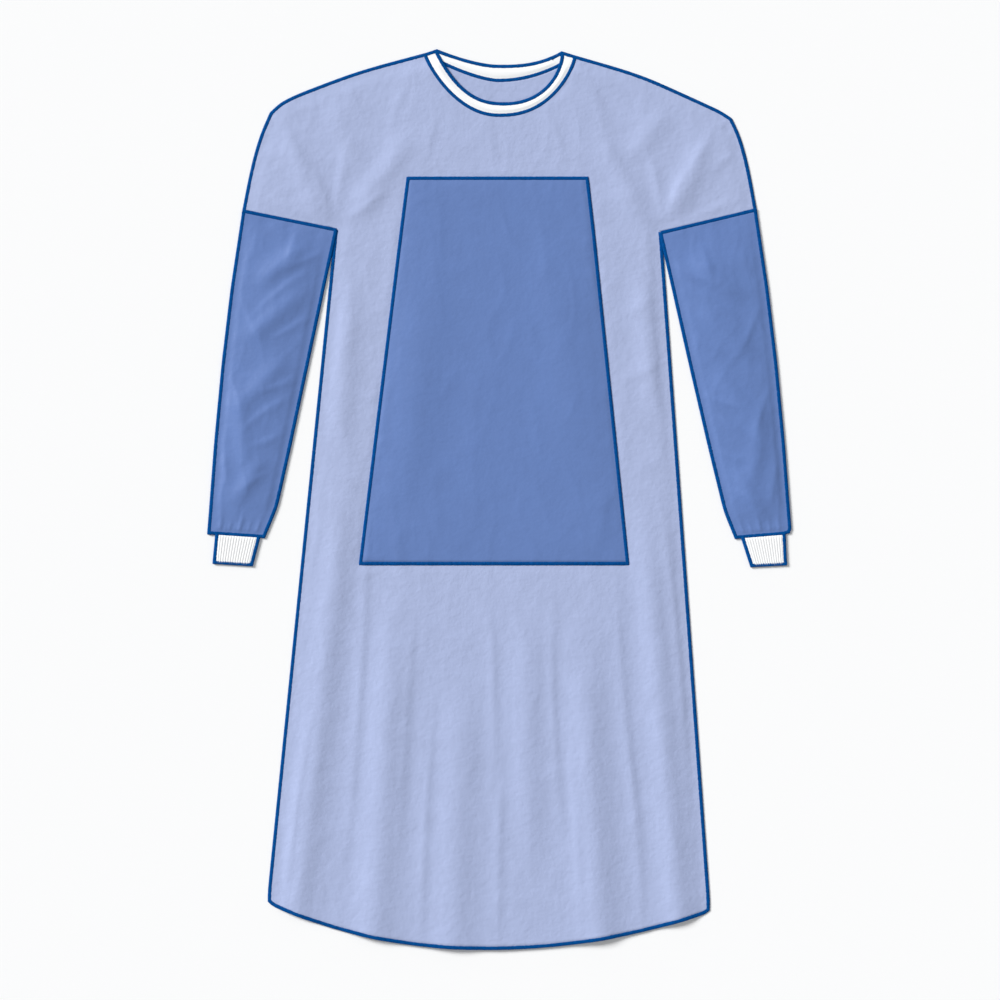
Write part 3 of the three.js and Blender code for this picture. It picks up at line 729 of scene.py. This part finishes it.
sleeves = {
    "at": (0, 0.22, 0.45, 0.7, 0.88, 1.0),  # shares of its length, for the points of its edges
    "left": {
        "outer": (
            (-359.0, 403.3), (-375.4, 294.0), (-387.8, 190.0),
            (-398.2, 80.0), (-404.6, -4.4), (-408.0, -47.8),
        ),
        "inner": (
            (-230.0, 377.1), (-247.4, 287.0), (-268.8, 186.0),
            (-292.6, 74.0), (-311.3, -10.0), (-329.1, -53.1),
        ),
        "shift": 0,
        "seed": 2.0,
    },
    "right": {
        "outer": (
            (359.0, 404.9), (375.4, 294.0), (387.8, 190.0),
            (398.2, 80.0), (404.6, -4.4), (408.0, -47.8),
        ),
        "inner": (
            (226.6, 372.9), (244.0, 287.0), (266.8, 186.0),
            (292.8, 74.0), (314.8, -16.2), (330.2, -54.2),
        ),
        "shift": -22,  # its folds lie this much lower than the left one's
        "seed": 6.0,
    },
    "wristRound": {"reach": (12, 8), "shift": (-2.4, 1.6)},
    "top": 2.3,
    "roundEdge": 1.15,
    "loft": 2.8,
    "folds": (
        (262, 362, 346, 296, 2.7, 13, False), (262, 304, 366, 212, 2.5, 14, False),
        (290, 206, 376, 118, 2.2, 14, False), (372, 170, 348, 16, 1.8, 13, False),
        (322, 70, 378, -14, 1.9, 11, False),
    ),
    "creases": (
        (240, 352, 318, 320, 0.98, 5.1, 4), (250, 330, 352, 250, 1.12, 5.5, -6),
        (262, 262, 330, 222, 0.98, 4.6, 4), (366, 300, 318, 200, 0.84, 5.5, -5),
        (276, 176, 350, 150, 1.12, 5.1, 5), (282, 150, 372, 84, 0.98, 5.1, -6),
        (384, 190, 356, 96, 0.84, 4.6, 4), (300, 96, 352, 74, 0.98, 4.6, 3),
        (316, 40, 366, 10, 0.84, 4.6, -3), (392, 90, 380, 0, 0.7, 4.6, 3),
        (340, 384, 352, 330, 0.7, 5.5, 3), (278, 386, 296, 320, 0.84, 5.5, -4),
    ),
    "underCreases": (
        (252, 340, 338, 300, 0.5, 7.4, 6), (270, 270, 346, 190, 0.6, 8.3, -7),
        (356, 330, 372, 180, 0.4, 7.4, 5), (290, 190, 318, 40, 0.5, 7.4, -6),
        (376, 130, 344, 56, 0.6, 8.3, 6), (318, 70, 386, 20, 0.5, 7.4, -5),
    ),
    # at the wrist: share of the width, reach, rise, half width
    "gathers": (
        (0.13, 22, 0.8, 2.6), (0.2, 38, 1.2, 3.4), (0.29, 20, 0.8, 2.4), (0.36, 30, 1.1, 3.0),
        (0.45, 18, 0.7, 2.4), (0.53, 42, 1.3, 3.4), (0.61, 22, 0.8, 2.6), (0.68, 30, 1.0, 3.0),
        (0.76, 18, 0.8, 2.4), (0.83, 36, 1.2, 3.2), (0.9, 20, 0.8, 2.4),
    ),
    "length": 430,
    "waves": {"rise": 0.35, "size": 60},
    "crumple": {"rise": 0.3, "size": 30},
    "seamPuckers": (0.9, 10, 12),
    "sidePuckers": (0.7, 7, 12),
    "deepest": -0.4,
    # how far the relief takes to grow: shares of the length from the seam
    "foldFade": 0.06,
    "fineFade": 0.05,
    "loftFade": 0.15,
    "frontFoldFade": 0.14,  # the front's folds run on into it this far
    # and millimetres from the wrist or the sides
    "loftEnd": 60,
    "crumpleEnd": 12,
    "sideFade": 11,
    "endFade": 4,
    "cuts": 2,
    "lengthwiseCuts": 7,
}


def sleeveEdges(side, at):
    rows = sleeves["at"]
    return [
        np.stack([np.interp(at, rows, [p[k] for p in sleeves[side][edge]]) for k in (0, 1)], -1)
        for edge in ("outer", "inner")
    ]


def roundWrist(points):
    # the outer corner of the right sleeve's wrist is a little rounded
    fromCorner = (points[:, :2] - sleeves["right"]["outer"][-1]) / sleeves["wristRound"]["reach"]
    near = eased(1 - np.hypot(*fromCorner.T))
    points[:, :2] += near[:, None] * sleeves["wristRound"]["shift"]
    return points


def acrossSleeve(side, x, y):
    # the share of the sleeve's length at each point, how far it is from the outer edge, and the width there
    low, high = np.zeros_like(x) - 0.02, np.ones_like(x) * 1.02
    sign = 1 if side == "left" else -1
    for _ in range(22):  # halves the range until it closes in
        middle = (low + high) / 2
        outer, inner = sleeveEdges(side, middle)
        across = inner - outer
        above = (across[:, 0] * (y - outer[:, 1]) - across[:, 1] * (x - outer[:, 0])) * sign > 0
        low, high = np.where(above, low, middle), np.where(above, middle, high)
    width = np.hypot(*across.T)
    along = ((x - outer[:, 0]) * across[:, 0] + (y - outer[:, 1]) * across[:, 1]) / width
    return middle, np.clip(along, 0, width), width


def sleeveHeights(side, points):
    x, y, solid = points.T
    at, across, width = acrossSleeve(side, x, y)
    fromSide = np.minimum(across, width - across)
    middle = (sleeves["top"] + levels["lift"]) / 2
    half = middle - levels["lift"]
    bulge = half * np.sqrt(1 - (1 - np.clip(fromSide / sleeves["roundEdge"], 0, 1)) ** 2)
    mirroredX, shiftedY = np.abs(x), y - sleeves[side]["shift"]
    (_, outerEnd), (_, innerEnd) = (edge[0] for edge in sleeveEdges(side, np.array([1.0])))
    share, seed = across / width, sleeves[side]["seed"]
    fromEnd = np.maximum(y - outerEnd - (innerEnd - outerEnd) * share, 0)
    grown = eased(at / sleeves["fineFade"])
    relief = foldHeights(sleeves["folds"], mirroredX, shiftedY) * eased(at / sleeves["foldFade"])
    relief += foldHeights(front["folds"], x, y) * eased(1 - at / sleeves["frontFoldFade"])
    relief += creaseHeights(sleeves["creases"], mirroredX, shiftedY) * grown
    loft = sleeves["loft"] * np.sin(np.pi * share) ** 0.8
    relief += loft * eased(at / sleeves["loftFade"]) * eased(fromEnd / sleeves["loftEnd"])
    relief += sleeves["waves"]["rise"] * waves(x, y, sleeves["waves"]["size"], seed) * grown
    fine = sleeves["crumple"]["rise"] * crumple(x, y, sleeves["crumple"]["size"], seed + 1)
    relief += fine * grown * eased(fromEnd / sleeves["crumpleEnd"])
    relief += puckers(at * sleeves["length"] - levels["rowHalf"], across, *sleeves["seamPuckers"], seed)
    for gatherShare, reach, rise, halfWidth in sleeves["gathers"]:
        aside = (across - gatherShare * width) / halfWidth
        relief += rise * np.exp(-aside ** 2) * eased(1 - fromEnd / reach)
    besideSeam, besideEnd = fromSide - levels["seamFlat"], fromEnd - levels["seamFlat"]
    relief += puckers(besideSeam, y, *sleeves["sidePuckers"], seed + 3)
    held = eased(besideSeam / sleeves["sideFade"]) * eased(besideEnd / sleeves["endFade"])
    top = middle + bulge + np.maximum(relief, sleeves["deepest"]) * held
    under = middle - bulge + creaseHeights(sleeves["underCreases"], mirroredX, shiftedY) * held
    return np.where(solid > sleeves["top"] / 2 + 0.01, top, under)


sleevePieces = {}
for side in ("left", "right"):
    skin = refine(outerSkin("sleeve_" + side), sleeves["cuts"], sleeves["lengthwiseCuts"])
    piece = toPiece(skin, "sleeve_" + side + "_cloth", midLaminate)
    setHeights(piece, sleeveHeights(side, places(piece)))
    place(piece, roundWrist(places(piece)))
    finishSkin(piece, levels["skin"], allRound=True)
    sleevePieces[side] = piece
print("sleeves shaped")


# Rib knit cuffs

cuffs = {
    "topShares": {"left": (0.143, 0.916), "right": (0.11, 0.885)},
    "hand": {
        "left": ((-400.5, -88.9), (-346.1, -92.4)),
        "right": ((401.3, -91.2), (352.0, -93.6)),
    },
    "topFlat": 2.2,  # the ribs start this far below the sleeve
    "endFlat": 4.6,  # and die out under the stitches at the hand
    "sewnDown": 0.45,
    "ribs": 16,
    "pointsPerRib": 10,
    "ribHeight": 0.52,
    "underRibHeight": 0.3,
    "top": 2.6,
    "roundEdge": 1.2,
    "wall": 0.7,
    "cuts": (1, 9, 3),
    "seamGap": 0.3,
    "foldPoints": (0.0, 0.18, 0.6),  # from its folded edges, where it is rounder
    "ribsFrom": 1.0,
    "sideFlat": 4,  # no ribs under the stitches at its sides
    "sideFade": 2,
}


def cuffRing(outer, inner):
    # shares run across the upper face and back along the lower one; the height comes later
    count = cuffs["ribs"] * cuffs["pointsPerRib"]
    width = math.dist(outer, inner)
    nearEdge = [point / width for point in cuffs["foldPoints"]]
    inside = [t for t in np.linspace(0, 1, count + 1) if cuffs["ribsFrom"] / width < min(t, 1 - t)]
    shares = nearEdge + inside + [1 - t for t in nearEdge[::-1]]
    return [(t, 1) for t in shares] + [(t, -1) for t in shares[-2:0:-1]]


def cuffPoint(outer, inner, share, face, ribShare, sunk):
    width = math.dist(outer, inner)
    x, y = (outer[k] + (inner[k] - outer[k]) * share for k in (0, 1))
    rib = abs(math.sin(math.pi * share * cuffs["ribs"])) ** 0.8 * ribShare
    fromSide = min(share, 1 - share) * width
    middle = (cuffs["top"] - sunk + levels["lift"]) / 2
    bulge = (middle - levels["lift"]) * math.sqrt(1 - (1 - min(1, fromSide / cuffs["roundEdge"])) ** 2)
    held = min(1, max(0, fromSide - cuffs["sideFlat"]) / cuffs["sideFade"])
    if face > 0:
        return x, y, middle + bulge + cuffs["ribHeight"] * held * rib
    return x, y, middle - bulge + cuffs["underRibHeight"] * held * (1 - rib)


def cuffEnds(side):
    # outer and inner points where the cuff starts, where its ribs start and end, and at the hand
    wrist = [edge[0] for edge in sleeveEdges(side, np.array([1.0]))]
    tops = [wrist[0] + (wrist[1] - wrist[0]) * share for share in cuffs["topShares"][side]]
    tops = [top - (0, cuffs["seamGap"]) for top in tops]
    hands = [np.array(hand) for hand in cuffs["hand"][side]]
    nearHands = [h + (t - h) * cuffs["endFlat"] / np.hypot(*(t - h)) for t, h in zip(tops, hands)]
    nearTops = [t + (h - t) * cuffs["topFlat"] / np.hypot(*(t - h)) for t, h in zip(tops, hands)]
    return tops, nearTops, nearHands, hands


def cuffSkin(side):
    bm = bmesh.new()
    ends = cuffEnds(side)
    rows = []
    for (outer, inner), ribShare, sunk in zip(ends, (0, 1, 1, 0), (cuffs["sewnDown"], 0, 0, 0)):
        ring = [cuffPoint(outer, inner, share, face, ribShare, sunk) for share, face in cuffRing(*ends[0])]
        rows.append(joinedRow(bm, [Vector(point) * mm for point in ring], closed=True))
    return bridged(bm, rows, cuffs["cuts"])


cuffPieces = {}
for side in ("left", "right"):
    piece = toPiece(cuffSkin(side), "cuff_" + side + "_knit", whiteKnit)
    finishSkin(piece, cuffs["wall"], allRound=True)
    cuffPieces[side] = piece
print("cuffs knitted")


# Neck binding

binding = {
    "crown": 0.9,
    "crownFade": 5,
    "flatAt": {"seam": 2.2, "edge": 3.4, "tip": 10},  # under the stitches, and at the shoulders
    "tipFade": 18,
    "wall": 0.55,
    "cutsAcross": 9,
    # the back halves: which stretch of the neckline each has, as shares from the left
    "outerFrom": 0.1,
    "innerTo": 0.9,
    "step": (0.02, 0.09),  # where the inner half climbs onto the outer one
    "backCrown": 0.6,
    "pressed": 0.3,  # of that is left where the inner half lies on it
}


def bindingCrown(seamLine, edgeLine, x, y):
    toSeam, _ = distanceTo([seamLine])(x, y)
    toEdge, _ = distanceTo([edgeLine])(x, y)
    toTip = np.minimum(*(np.hypot(x - tip[0], y - tip[1]) for tip in edgeLine[[0, -1]]))
    flatAt, fade = binding["flatAt"], binding["crownFade"]
    crown = eased((toSeam - flatAt["seam"]) / fade) * eased((toEdge - flatAt["edge"]) / fade)
    return binding["crown"] * crown * eased((toTip - flatAt["tip"]) / binding["tipFade"])


skin = sheetBetween(neckLines["frontSeam"], neckLines["frontEdge"], binding["cutsAcross"])
frontBinding = toPiece(skin, "neck_binding_front_tape", whiteTape)
x, y, _ = places(frontBinding).T
toShoulder, _ = toSewnEdge(x, y)
fromShoulder = eased((toShoulder - levels["seamFlat"]) / levels["sinkWidth"])
height = between(levels["sewnTop"], levels["frontDoubledTop"], fromShoulder)
setHeights(frontBinding, height + bindingCrown(neckLines["frontSeam"], neckLines["frontEdge"], x, y))

backBindings = {}
lastSample = neck["samples"] - 1
seamShares = {
    "outer": slice(round(binding["outerFrom"] * lastSample), neck["samples"]),
    "inner": slice(0, round(binding["innerTo"] * lastSample) + 1),
}
for half in ("outer", "inner"):
    seamLine, edgeLine = (neckLines[key][seamShares[half]] for key in ("backSeam", "backEdge"))
    skin = sheetBetween(seamLine, edgeLine, binding["cutsAcross"])
    piece = toPiece(skin, "neck_binding_back_" + half + "_tape", whiteTape)
    x, y, _ = places(piece).T
    crown = bindingCrown(neckLines["backSeam"], neckLines["backEdge"], x, y)
    turn = (x - neck["seam"]["left"][0]) / (neck["seam"]["right"][0] - neck["seam"]["left"][0])
    if half == "inner":
        start, end = binding["step"]
        raised = np.clip((turn - start) / (end - start), 0, 1)
        height = between(levels["backTop"], levels["backDoubledTop"], raised) + crown
    else:
        left = np.where(turn < binding["innerTo"], binding["pressed"], 1)
        height = levels["backTop"] + crown * left * binding["backCrown"]
    setHeights(piece, height)
    backBindings[half] = piece

for piece, seamLine in (
    (frontBinding, neckLines["frontSeam"]),
    (backBindings["outer"], neckLines["backSeam"][seamShares["outer"]]),
    (backBindings["inner"], neckLines["backSeam"][seamShares["inner"]]),
):
    finishSkin(piece, binding["wall"], seamLine=seamLine)
print("neck bound")


# Overlocked and satin-stitched seams: every stitch is a thread of its own

stitches = {
    "pitch": 1.35,
    "threadWidth": 1.6,
    "threadThick": 0.42,
    "inside": 3.9,  # how far a stitch reaches onto the cloth from its edge
    "outside": 1.35,
    "slant": 0.22,
    "seamHalf": 2.6,  # half the width of the rows across the middle of the cloth
    "armpitPull": 2.2,  # the sleeve's row draws in to the body's at the armpit
    "armpitReach": 85,
    "lineStep": 2.0,
    "bothSides": (-2.2, -1.1, 0, 1.1, 2.2),  # where a row feels for the cloth, beside its line
    "inwards": (1.5, 3.0),
    "panelShift": 0.8,  # the reinforcement's rows lie this far inside its edge
    "hiddenEnds": 86,  # past this the front's binding lies on the back's seam
    "proud": 0.3,  # a wrapped stitch stands this far over the cloth
    "sag": 0.15,  # a row may sink this far between high places
}


def threadTemplate(name, path):
    # a flat rounded thread along a path of (across, up), slanted a little
    bm = bmesh.new()
    half, thick = stitches["threadWidth"] / 2, stitches["threadThick"]
    profile = [(half * t, thick * sink) for t, sink in ((-1, 0.8), (-0.55, 0.12), (0.55, 0.12), (1, 0.8))]
    rows = []
    for across, up, downX, downZ in path:
        slant = stitches["slant"] * across
        around = [(offset + slant, across + downX * sink, up + downZ * sink) for offset, sink in profile]
        rows.append(joinedRow(bm, [Vector(point) * mm for point in around]))
    made = toPiece(bridged(bm, rows, [0] * len(path)), name, blueThread)
    return made


def wrapTemplate(height):
    # over the edge of a stack of cloth this high and back under it; the line it follows is the stack's foot
    inside, outside = stitches["inside"], stitches["outside"]
    top = height + stitches["proud"]
    return threadTemplate("stitch over " + str(round(height * 10)), (
        (inside, height - 0.1, 0, -1), (inside - 0.4, top - 0.06, 0, -1),
        (inside * 0.55, top + 0.06, 0, -1), (0.5, top, 0, -1),
        (-outside * 0.6, top - 0.22, 0.7, -0.7), (-outside, height * 0.5, 1, 0),
        (-outside * 0.6, -0.05, 0.7, 0.7), (0.5, -0.28, 0, 1),
        (inside - 0.3, -0.26, 0, 1), (inside, 0.0, 0, 1),
    ))


def archTemplate(name, drop):
    # over a seam, and down on its far side by how much lower the cloth lies there
    half = stitches["seamHalf"]
    return threadTemplate(name, (
        (half, -0.15, -0.8, -0.6), (half * 0.92, 0.16, -0.5, -0.85), (half * 0.5, 0.4, 0, -1),
        (0, 0.44, 0, -1), (-half * 0.5, 0.4, 0, -1),
        (-half * 0.92, 0.16 - drop * 0.6, 0.5, -0.85), (-half, -0.15 - drop, 0.8, -0.6),
    ))


def stitchNodes(template, seed):
    # sets a thread at every pitch along the line, each turned along it and sized a little differently
    tree = bpy.data.node_groups.new("stitches " + template.name, "GeometryNodeTree")
    tree.interface.new_socket("Geometry", in_out="INPUT", socket_type="NodeSocketGeometry")
    tree.interface.new_socket("Geometry", in_out="OUTPUT", socket_type="NodeSocketGeometry")
    source, result = tree.nodes.new("NodeGroupInput"), tree.nodes.new("NodeGroupOutput")
    curve = tree.nodes.new("GeometryNodeMeshToCurve")
    points = addNode(tree, "GeometryNodeCurveToPoints", {"mode": "LENGTH"}, Length=stitches["pitch"] * mm)
    align = addNode(tree, "FunctionNodeAlignRotationToVector", {"axis": "X", "pivot_axis": "Z"})
    thread = tree.nodes.new("GeometryNodeObjectInfo")
    thread.inputs["Object"].default_value = template
    instances = tree.nodes.new("GeometryNodeInstanceOnPoints")
    sizes = addNode(tree, "FunctionNodeRandomValue", {"data_type": "FLOAT_VECTOR"})
    sizes.inputs[0].default_value, sizes.inputs[1].default_value = (0.9, 0.94, 0.97), (1.06, 1.05, 1.06)
    sizes.inputs["Seed"].default_value = seed
    realize = tree.nodes.new("GeometryNodeRealizeInstances")
    for start, end in (
        (source.outputs[0], curve.inputs["Mesh"]),
        (curve.outputs["Curve"], points.inputs["Curve"]),
        (points.outputs["Tangent"], align.inputs["Vector"]),
        (points.outputs["Points"], instances.inputs["Points"]),
        (thread.outputs["Geometry"], instances.inputs["Instance"]),
        (align.outputs["Rotation"], instances.inputs["Rotation"]),
        (sizes.outputs[0], instances.inputs["Scale"]),
        (instances.outputs["Instances"], realize.inputs["Geometry"]),
        (realize.outputs["Geometry"], result.inputs[0]),
    ):
        tree.links.new(start, end)
    return tree


def surfaceUnder(x, y, pieces):
    heights = []
    for name in pieces:
        hit = surfaces[name].ray_cast(Vector((x * mm, y * mm, 0.05)), Vector((0, 0, -1)))
        if hit[0] is not None:
            heights.append(hit[0].z / mm)
    return max(heights) if heights else None


def onSurface(line, pieces, insets=stitches["bothSides"], below=0, shift=0):
    # gives the line the height of the highest cloth beside it, less the thickness that the stitch goes round
    flat = resampled(line, stitches["lineStep"])[:, :2]
    tangent = np.gradient(flat, axis=0)
    tangent /= np.hypot(*tangent.T)[:, None]
    inward = np.stack([-tangent[:, 1], tangent[:, 0]], 1)
    flat = flat + shift * inward
    found = [[surfaceUnder(x, y, pieces) for x, y in flat + inset * inward] for inset in insets]
    highest = [max((h for h in column if h is not None), default=None) for column in zip(*found)]
    known = [i for i, h in enumerate(highest) if h is not None]
    heights = np.interp(range(len(highest)), known, [highest[i] for i in known]) - below
    padded = np.pad(heights, 1, "edge")
    heights = np.maximum(np.maximum(padded[:-2], padded[2:]), heights)
    kernel = np.array([1, 2, 3, 2, 1]) / 9
    smoothed = np.convolve(np.pad(heights, 2, "edge"), kernel, "valid")
    return np.column_stack([flat, np.maximum(smoothed, heights - stitches["sag"])])


def atHeight(line, height=levels["lift"]):
    flat = resampled(line, stitches["lineStep"])[:, :2]
    return np.column_stack([flat, np.full(len(flat), height)])


def stitchPiece(name, rows):
    # rows are (line of points, template); one mesh for the whole piece
    whole = bmesh.new()
    byTemplate = {}
    for line, template in rows:
        byTemplate.setdefault(template.name, (template, []))[1].append(line)
    for seed, (template, lines) in enumerate(byTemplate.values()):
        bm = bmesh.new()
        for line in lines:
            joinedRow(bm, [Vector(point) * mm for point in line])
        host = toPiece(bm, name + " line", blueThread)
        host.modifiers.new("stitches", "NODES").node_group = stitchNodes(template, seed + 11)
        bpy.context.view_layer.update()
        evaluated = host.evaluated_get(bpy.context.evaluated_depsgraph_get())
        made = bpy.data.meshes.new_from_object(evaluated)
        whole.from_mesh(made)
        bpy.data.objects.remove(host)
        bpy.data.meshes.remove(made)
    piece = toPiece(whole, name, blueThread)
    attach(piece, "root")
    print(name, len(piece.data.polygons), "faces")
    return piece


overSeam = wrapTemplate(levels["sewnTop"] - levels["lift"])
overSingle = wrapTemplate(levels["skin"])
overSleeve = wrapTemplate(sleeves["top"] - levels["lift"])
overCuff = wrapTemplate(cuffs["top"] - levels["lift"])
overTape = wrapTemplate(binding["wall"])
overKnit = wrapTemplate(cuffs["wall"])
acrossSeam = archTemplate("stitch across", 0)
downStep = archTemplate("stitch down a step", levels["panelAbove"] - 0.15)

hem = frontLines["hem"]
bodyStitches = stitchPiece("edge_stitching_body", [
    *((atHeight(frontLines[name]), overSeam) for name in sewnEdges),
    (onSurface(hem, ["front_cloth"], stitches["inwards"], levels["skin"]), overSingle),
    (atHeight(hem), overSingle),
])
panelStitches = stitchPiece("edge_stitching_reinforcement", [
    (onSurface(line, ["front_cloth", "reinforcement_cloth"], shift=stitches["panelShift"]), downStep)
    for line in panelLines
])

sleeveStitches, cuffStitches = {}, {}
for side, seamName in zip(("left", "right"), sleeveSeams):
    # round each tube's outline the same way: down the first edge, up the second
    turn = 1 if side == "left" else -1
    outerEdge, innerEdge = (softened(edge, 8) for edge in sleeveEdges(side, np.linspace(0, 1, 120)))
    pull = np.clip(1 - np.hypot(*(innerEdge - innerEdge[0]).T) / stitches["armpitReach"], 0, 1)
    innerEdge[:, 0] += stitches["armpitPull"] * pull * turn
    first, second = (outerEdge, innerEdge)[::turn]
    sleeveLines = (first, second[::-1], np.stack([first[-1], second[-1]]))
    seamRow = onSurface(frontLines[seamName], ["front_cloth", "sleeve_" + side + "_cloth"])
    sleeveStitches[side] = stitchPiece("edge_stitching_sleeve_" + side, [
        *((roundWrist(atHeight(line)), overSleeve) for line in sleeveLines),
        (seamRow, acrossSeam),
    ])
    tops, _, _, hands = (ends[::turn] for ends in cuffEnds(side))
    cuffStitches[side] = stitchPiece("edge_stitching_cuff_" + side, [
        (atHeight(hands, cuffs["top"] - cuffs["wall"]), overKnit),
        (atHeight(hands), overKnit),
        (atHeight([tops[0], hands[0]]), overCuff),
        (atHeight([hands[1], tops[1]]), overCuff),
    ])

frontTape = "neck_binding_front_tape"
backTapes = ["neck_binding_back_inner_tape", "neck_binding_back_outer_tape"]
backSeamShown = neckLines["backSeam"][np.abs(neckLines["backSeam"][:, 0]) < stitches["hiddenEnds"]]
neckStitches = stitchPiece("edge_stitching_neck", [
    (onSurface(neckLines["frontSeam"], ["front_cloth", frontTape]), acrossSeam),
    (onSurface(neckLines["frontEdge"][::-1], [frontTape], stitches["inwards"], binding["wall"]), overTape),
    (onSurface(backSeamShown, ["back_outer_cloth", "back_inner_cloth"] + backTapes), acrossSeam),
    (onSurface(neckLines["backEdge"][::-1], backTapes, stitches["inwards"], binding["wall"]), overTape),
])
for template in (overSeam, overSingle, overSleeve, overCuff, overTape, overKnit, acrossSeam, downStep):
    bpy.data.objects.remove(template)
print("seams stitched")


# What each piece stands for, and what it is cut from

floor = {"size": 80, "colour": (0.93, 0.93, 0.93, 1)}
bm = bmesh.new()
bmesh.ops.create_grid(bm, x_segments=2, y_segments=2, size=floor["size"] / 2)
floorPiece = toPiece(bm, "floor", bpy.data.materials.new("pale floor"))
floorPiece.data.materials[0].use_nodes = True
floorShader = floorPiece.data.materials[0].node_tree.nodes["Principled BSDF"]
setInputs(floorShader, Base_Color=floor["colour"], Roughness=0.95, Specular_IOR_Level=0.1)

innerBack, outerBack = backPieces["inner"], backPieces["outer"]
declareCloth(outerBack, ["back_outer"])
declareCloth(innerBack, ["back_inner"])
declareCloth(frontPiece, ["front_body"])
declareCloth(panelPiece, ["front_reinforcement"])
for side in ("left", "right"):
    declareCloth(sleevePieces[side], ["sleeve_" + side])
    declareCloth(cuffPieces[side], ["cuff_" + side])
declareCloth(frontBinding, ["neck_binding_front"])
for half, piece in backBindings.items():
    declareCloth(piece, ["neck_binding_back_" + half])


# Light and camera

studio = {
    "world": (0.97, 0.985, 1.0, 1),
    "worldStrength": 0.36,
    "key": {"energy": 4.25, "angle": 22, "elevation": 28, "azimuth": 146},
    "fill": {"energy": 0.2, "angle": 60, "elevation": 60, "azimuth": -30},
}
world = bpy.data.worlds.new("studio")
world.use_nodes = True
setInputs(world.node_tree.nodes["Background"], Color=studio["world"], Strength=studio["worldStrength"])
bpy.context.scene.world = world
for name in ("key", "fill"):
    setting = studio[name]
    lamp = bpy.data.lights.new(name + " light", "SUN")
    lamp.energy = setting["energy"]
    lamp.angle = math.radians(setting["angle"])
    made = bpy.data.objects.new(name + " light", lamp)
    azimuth, elevation = math.radians(setting["azimuth"]), math.radians(setting["elevation"])
    towards = Vector((
        math.cos(azimuth) * math.cos(elevation), math.sin(azimuth) * math.cos(elevation), math.sin(elevation)
    ))
    made.rotation_mode = "QUATERNION"
    made.rotation_quaternion = towards.to_track_quat("Z", "Y")
    bpy.context.scene.collection.objects.link(made)

# 1.4 m of floor across the picture, its middle half a pixel off the origin
view = {"place": (0.0007, -0.0007, 3.889), "lens": 100, "sensor": 36}
lens = bpy.data.cameras.new("camera")
lens.lens = view["lens"]
lens.sensor_width = view["sensor"]
lens.clip_end = 50
camera = bpy.data.objects.new("camera", lens)
camera.location = view["place"]
bpy.context.scene.collection.objects.link(camera)
bpy.context.scene.camera = camera
bpy.context.scene.view_settings.view_transform = "Standard"
print("lit")
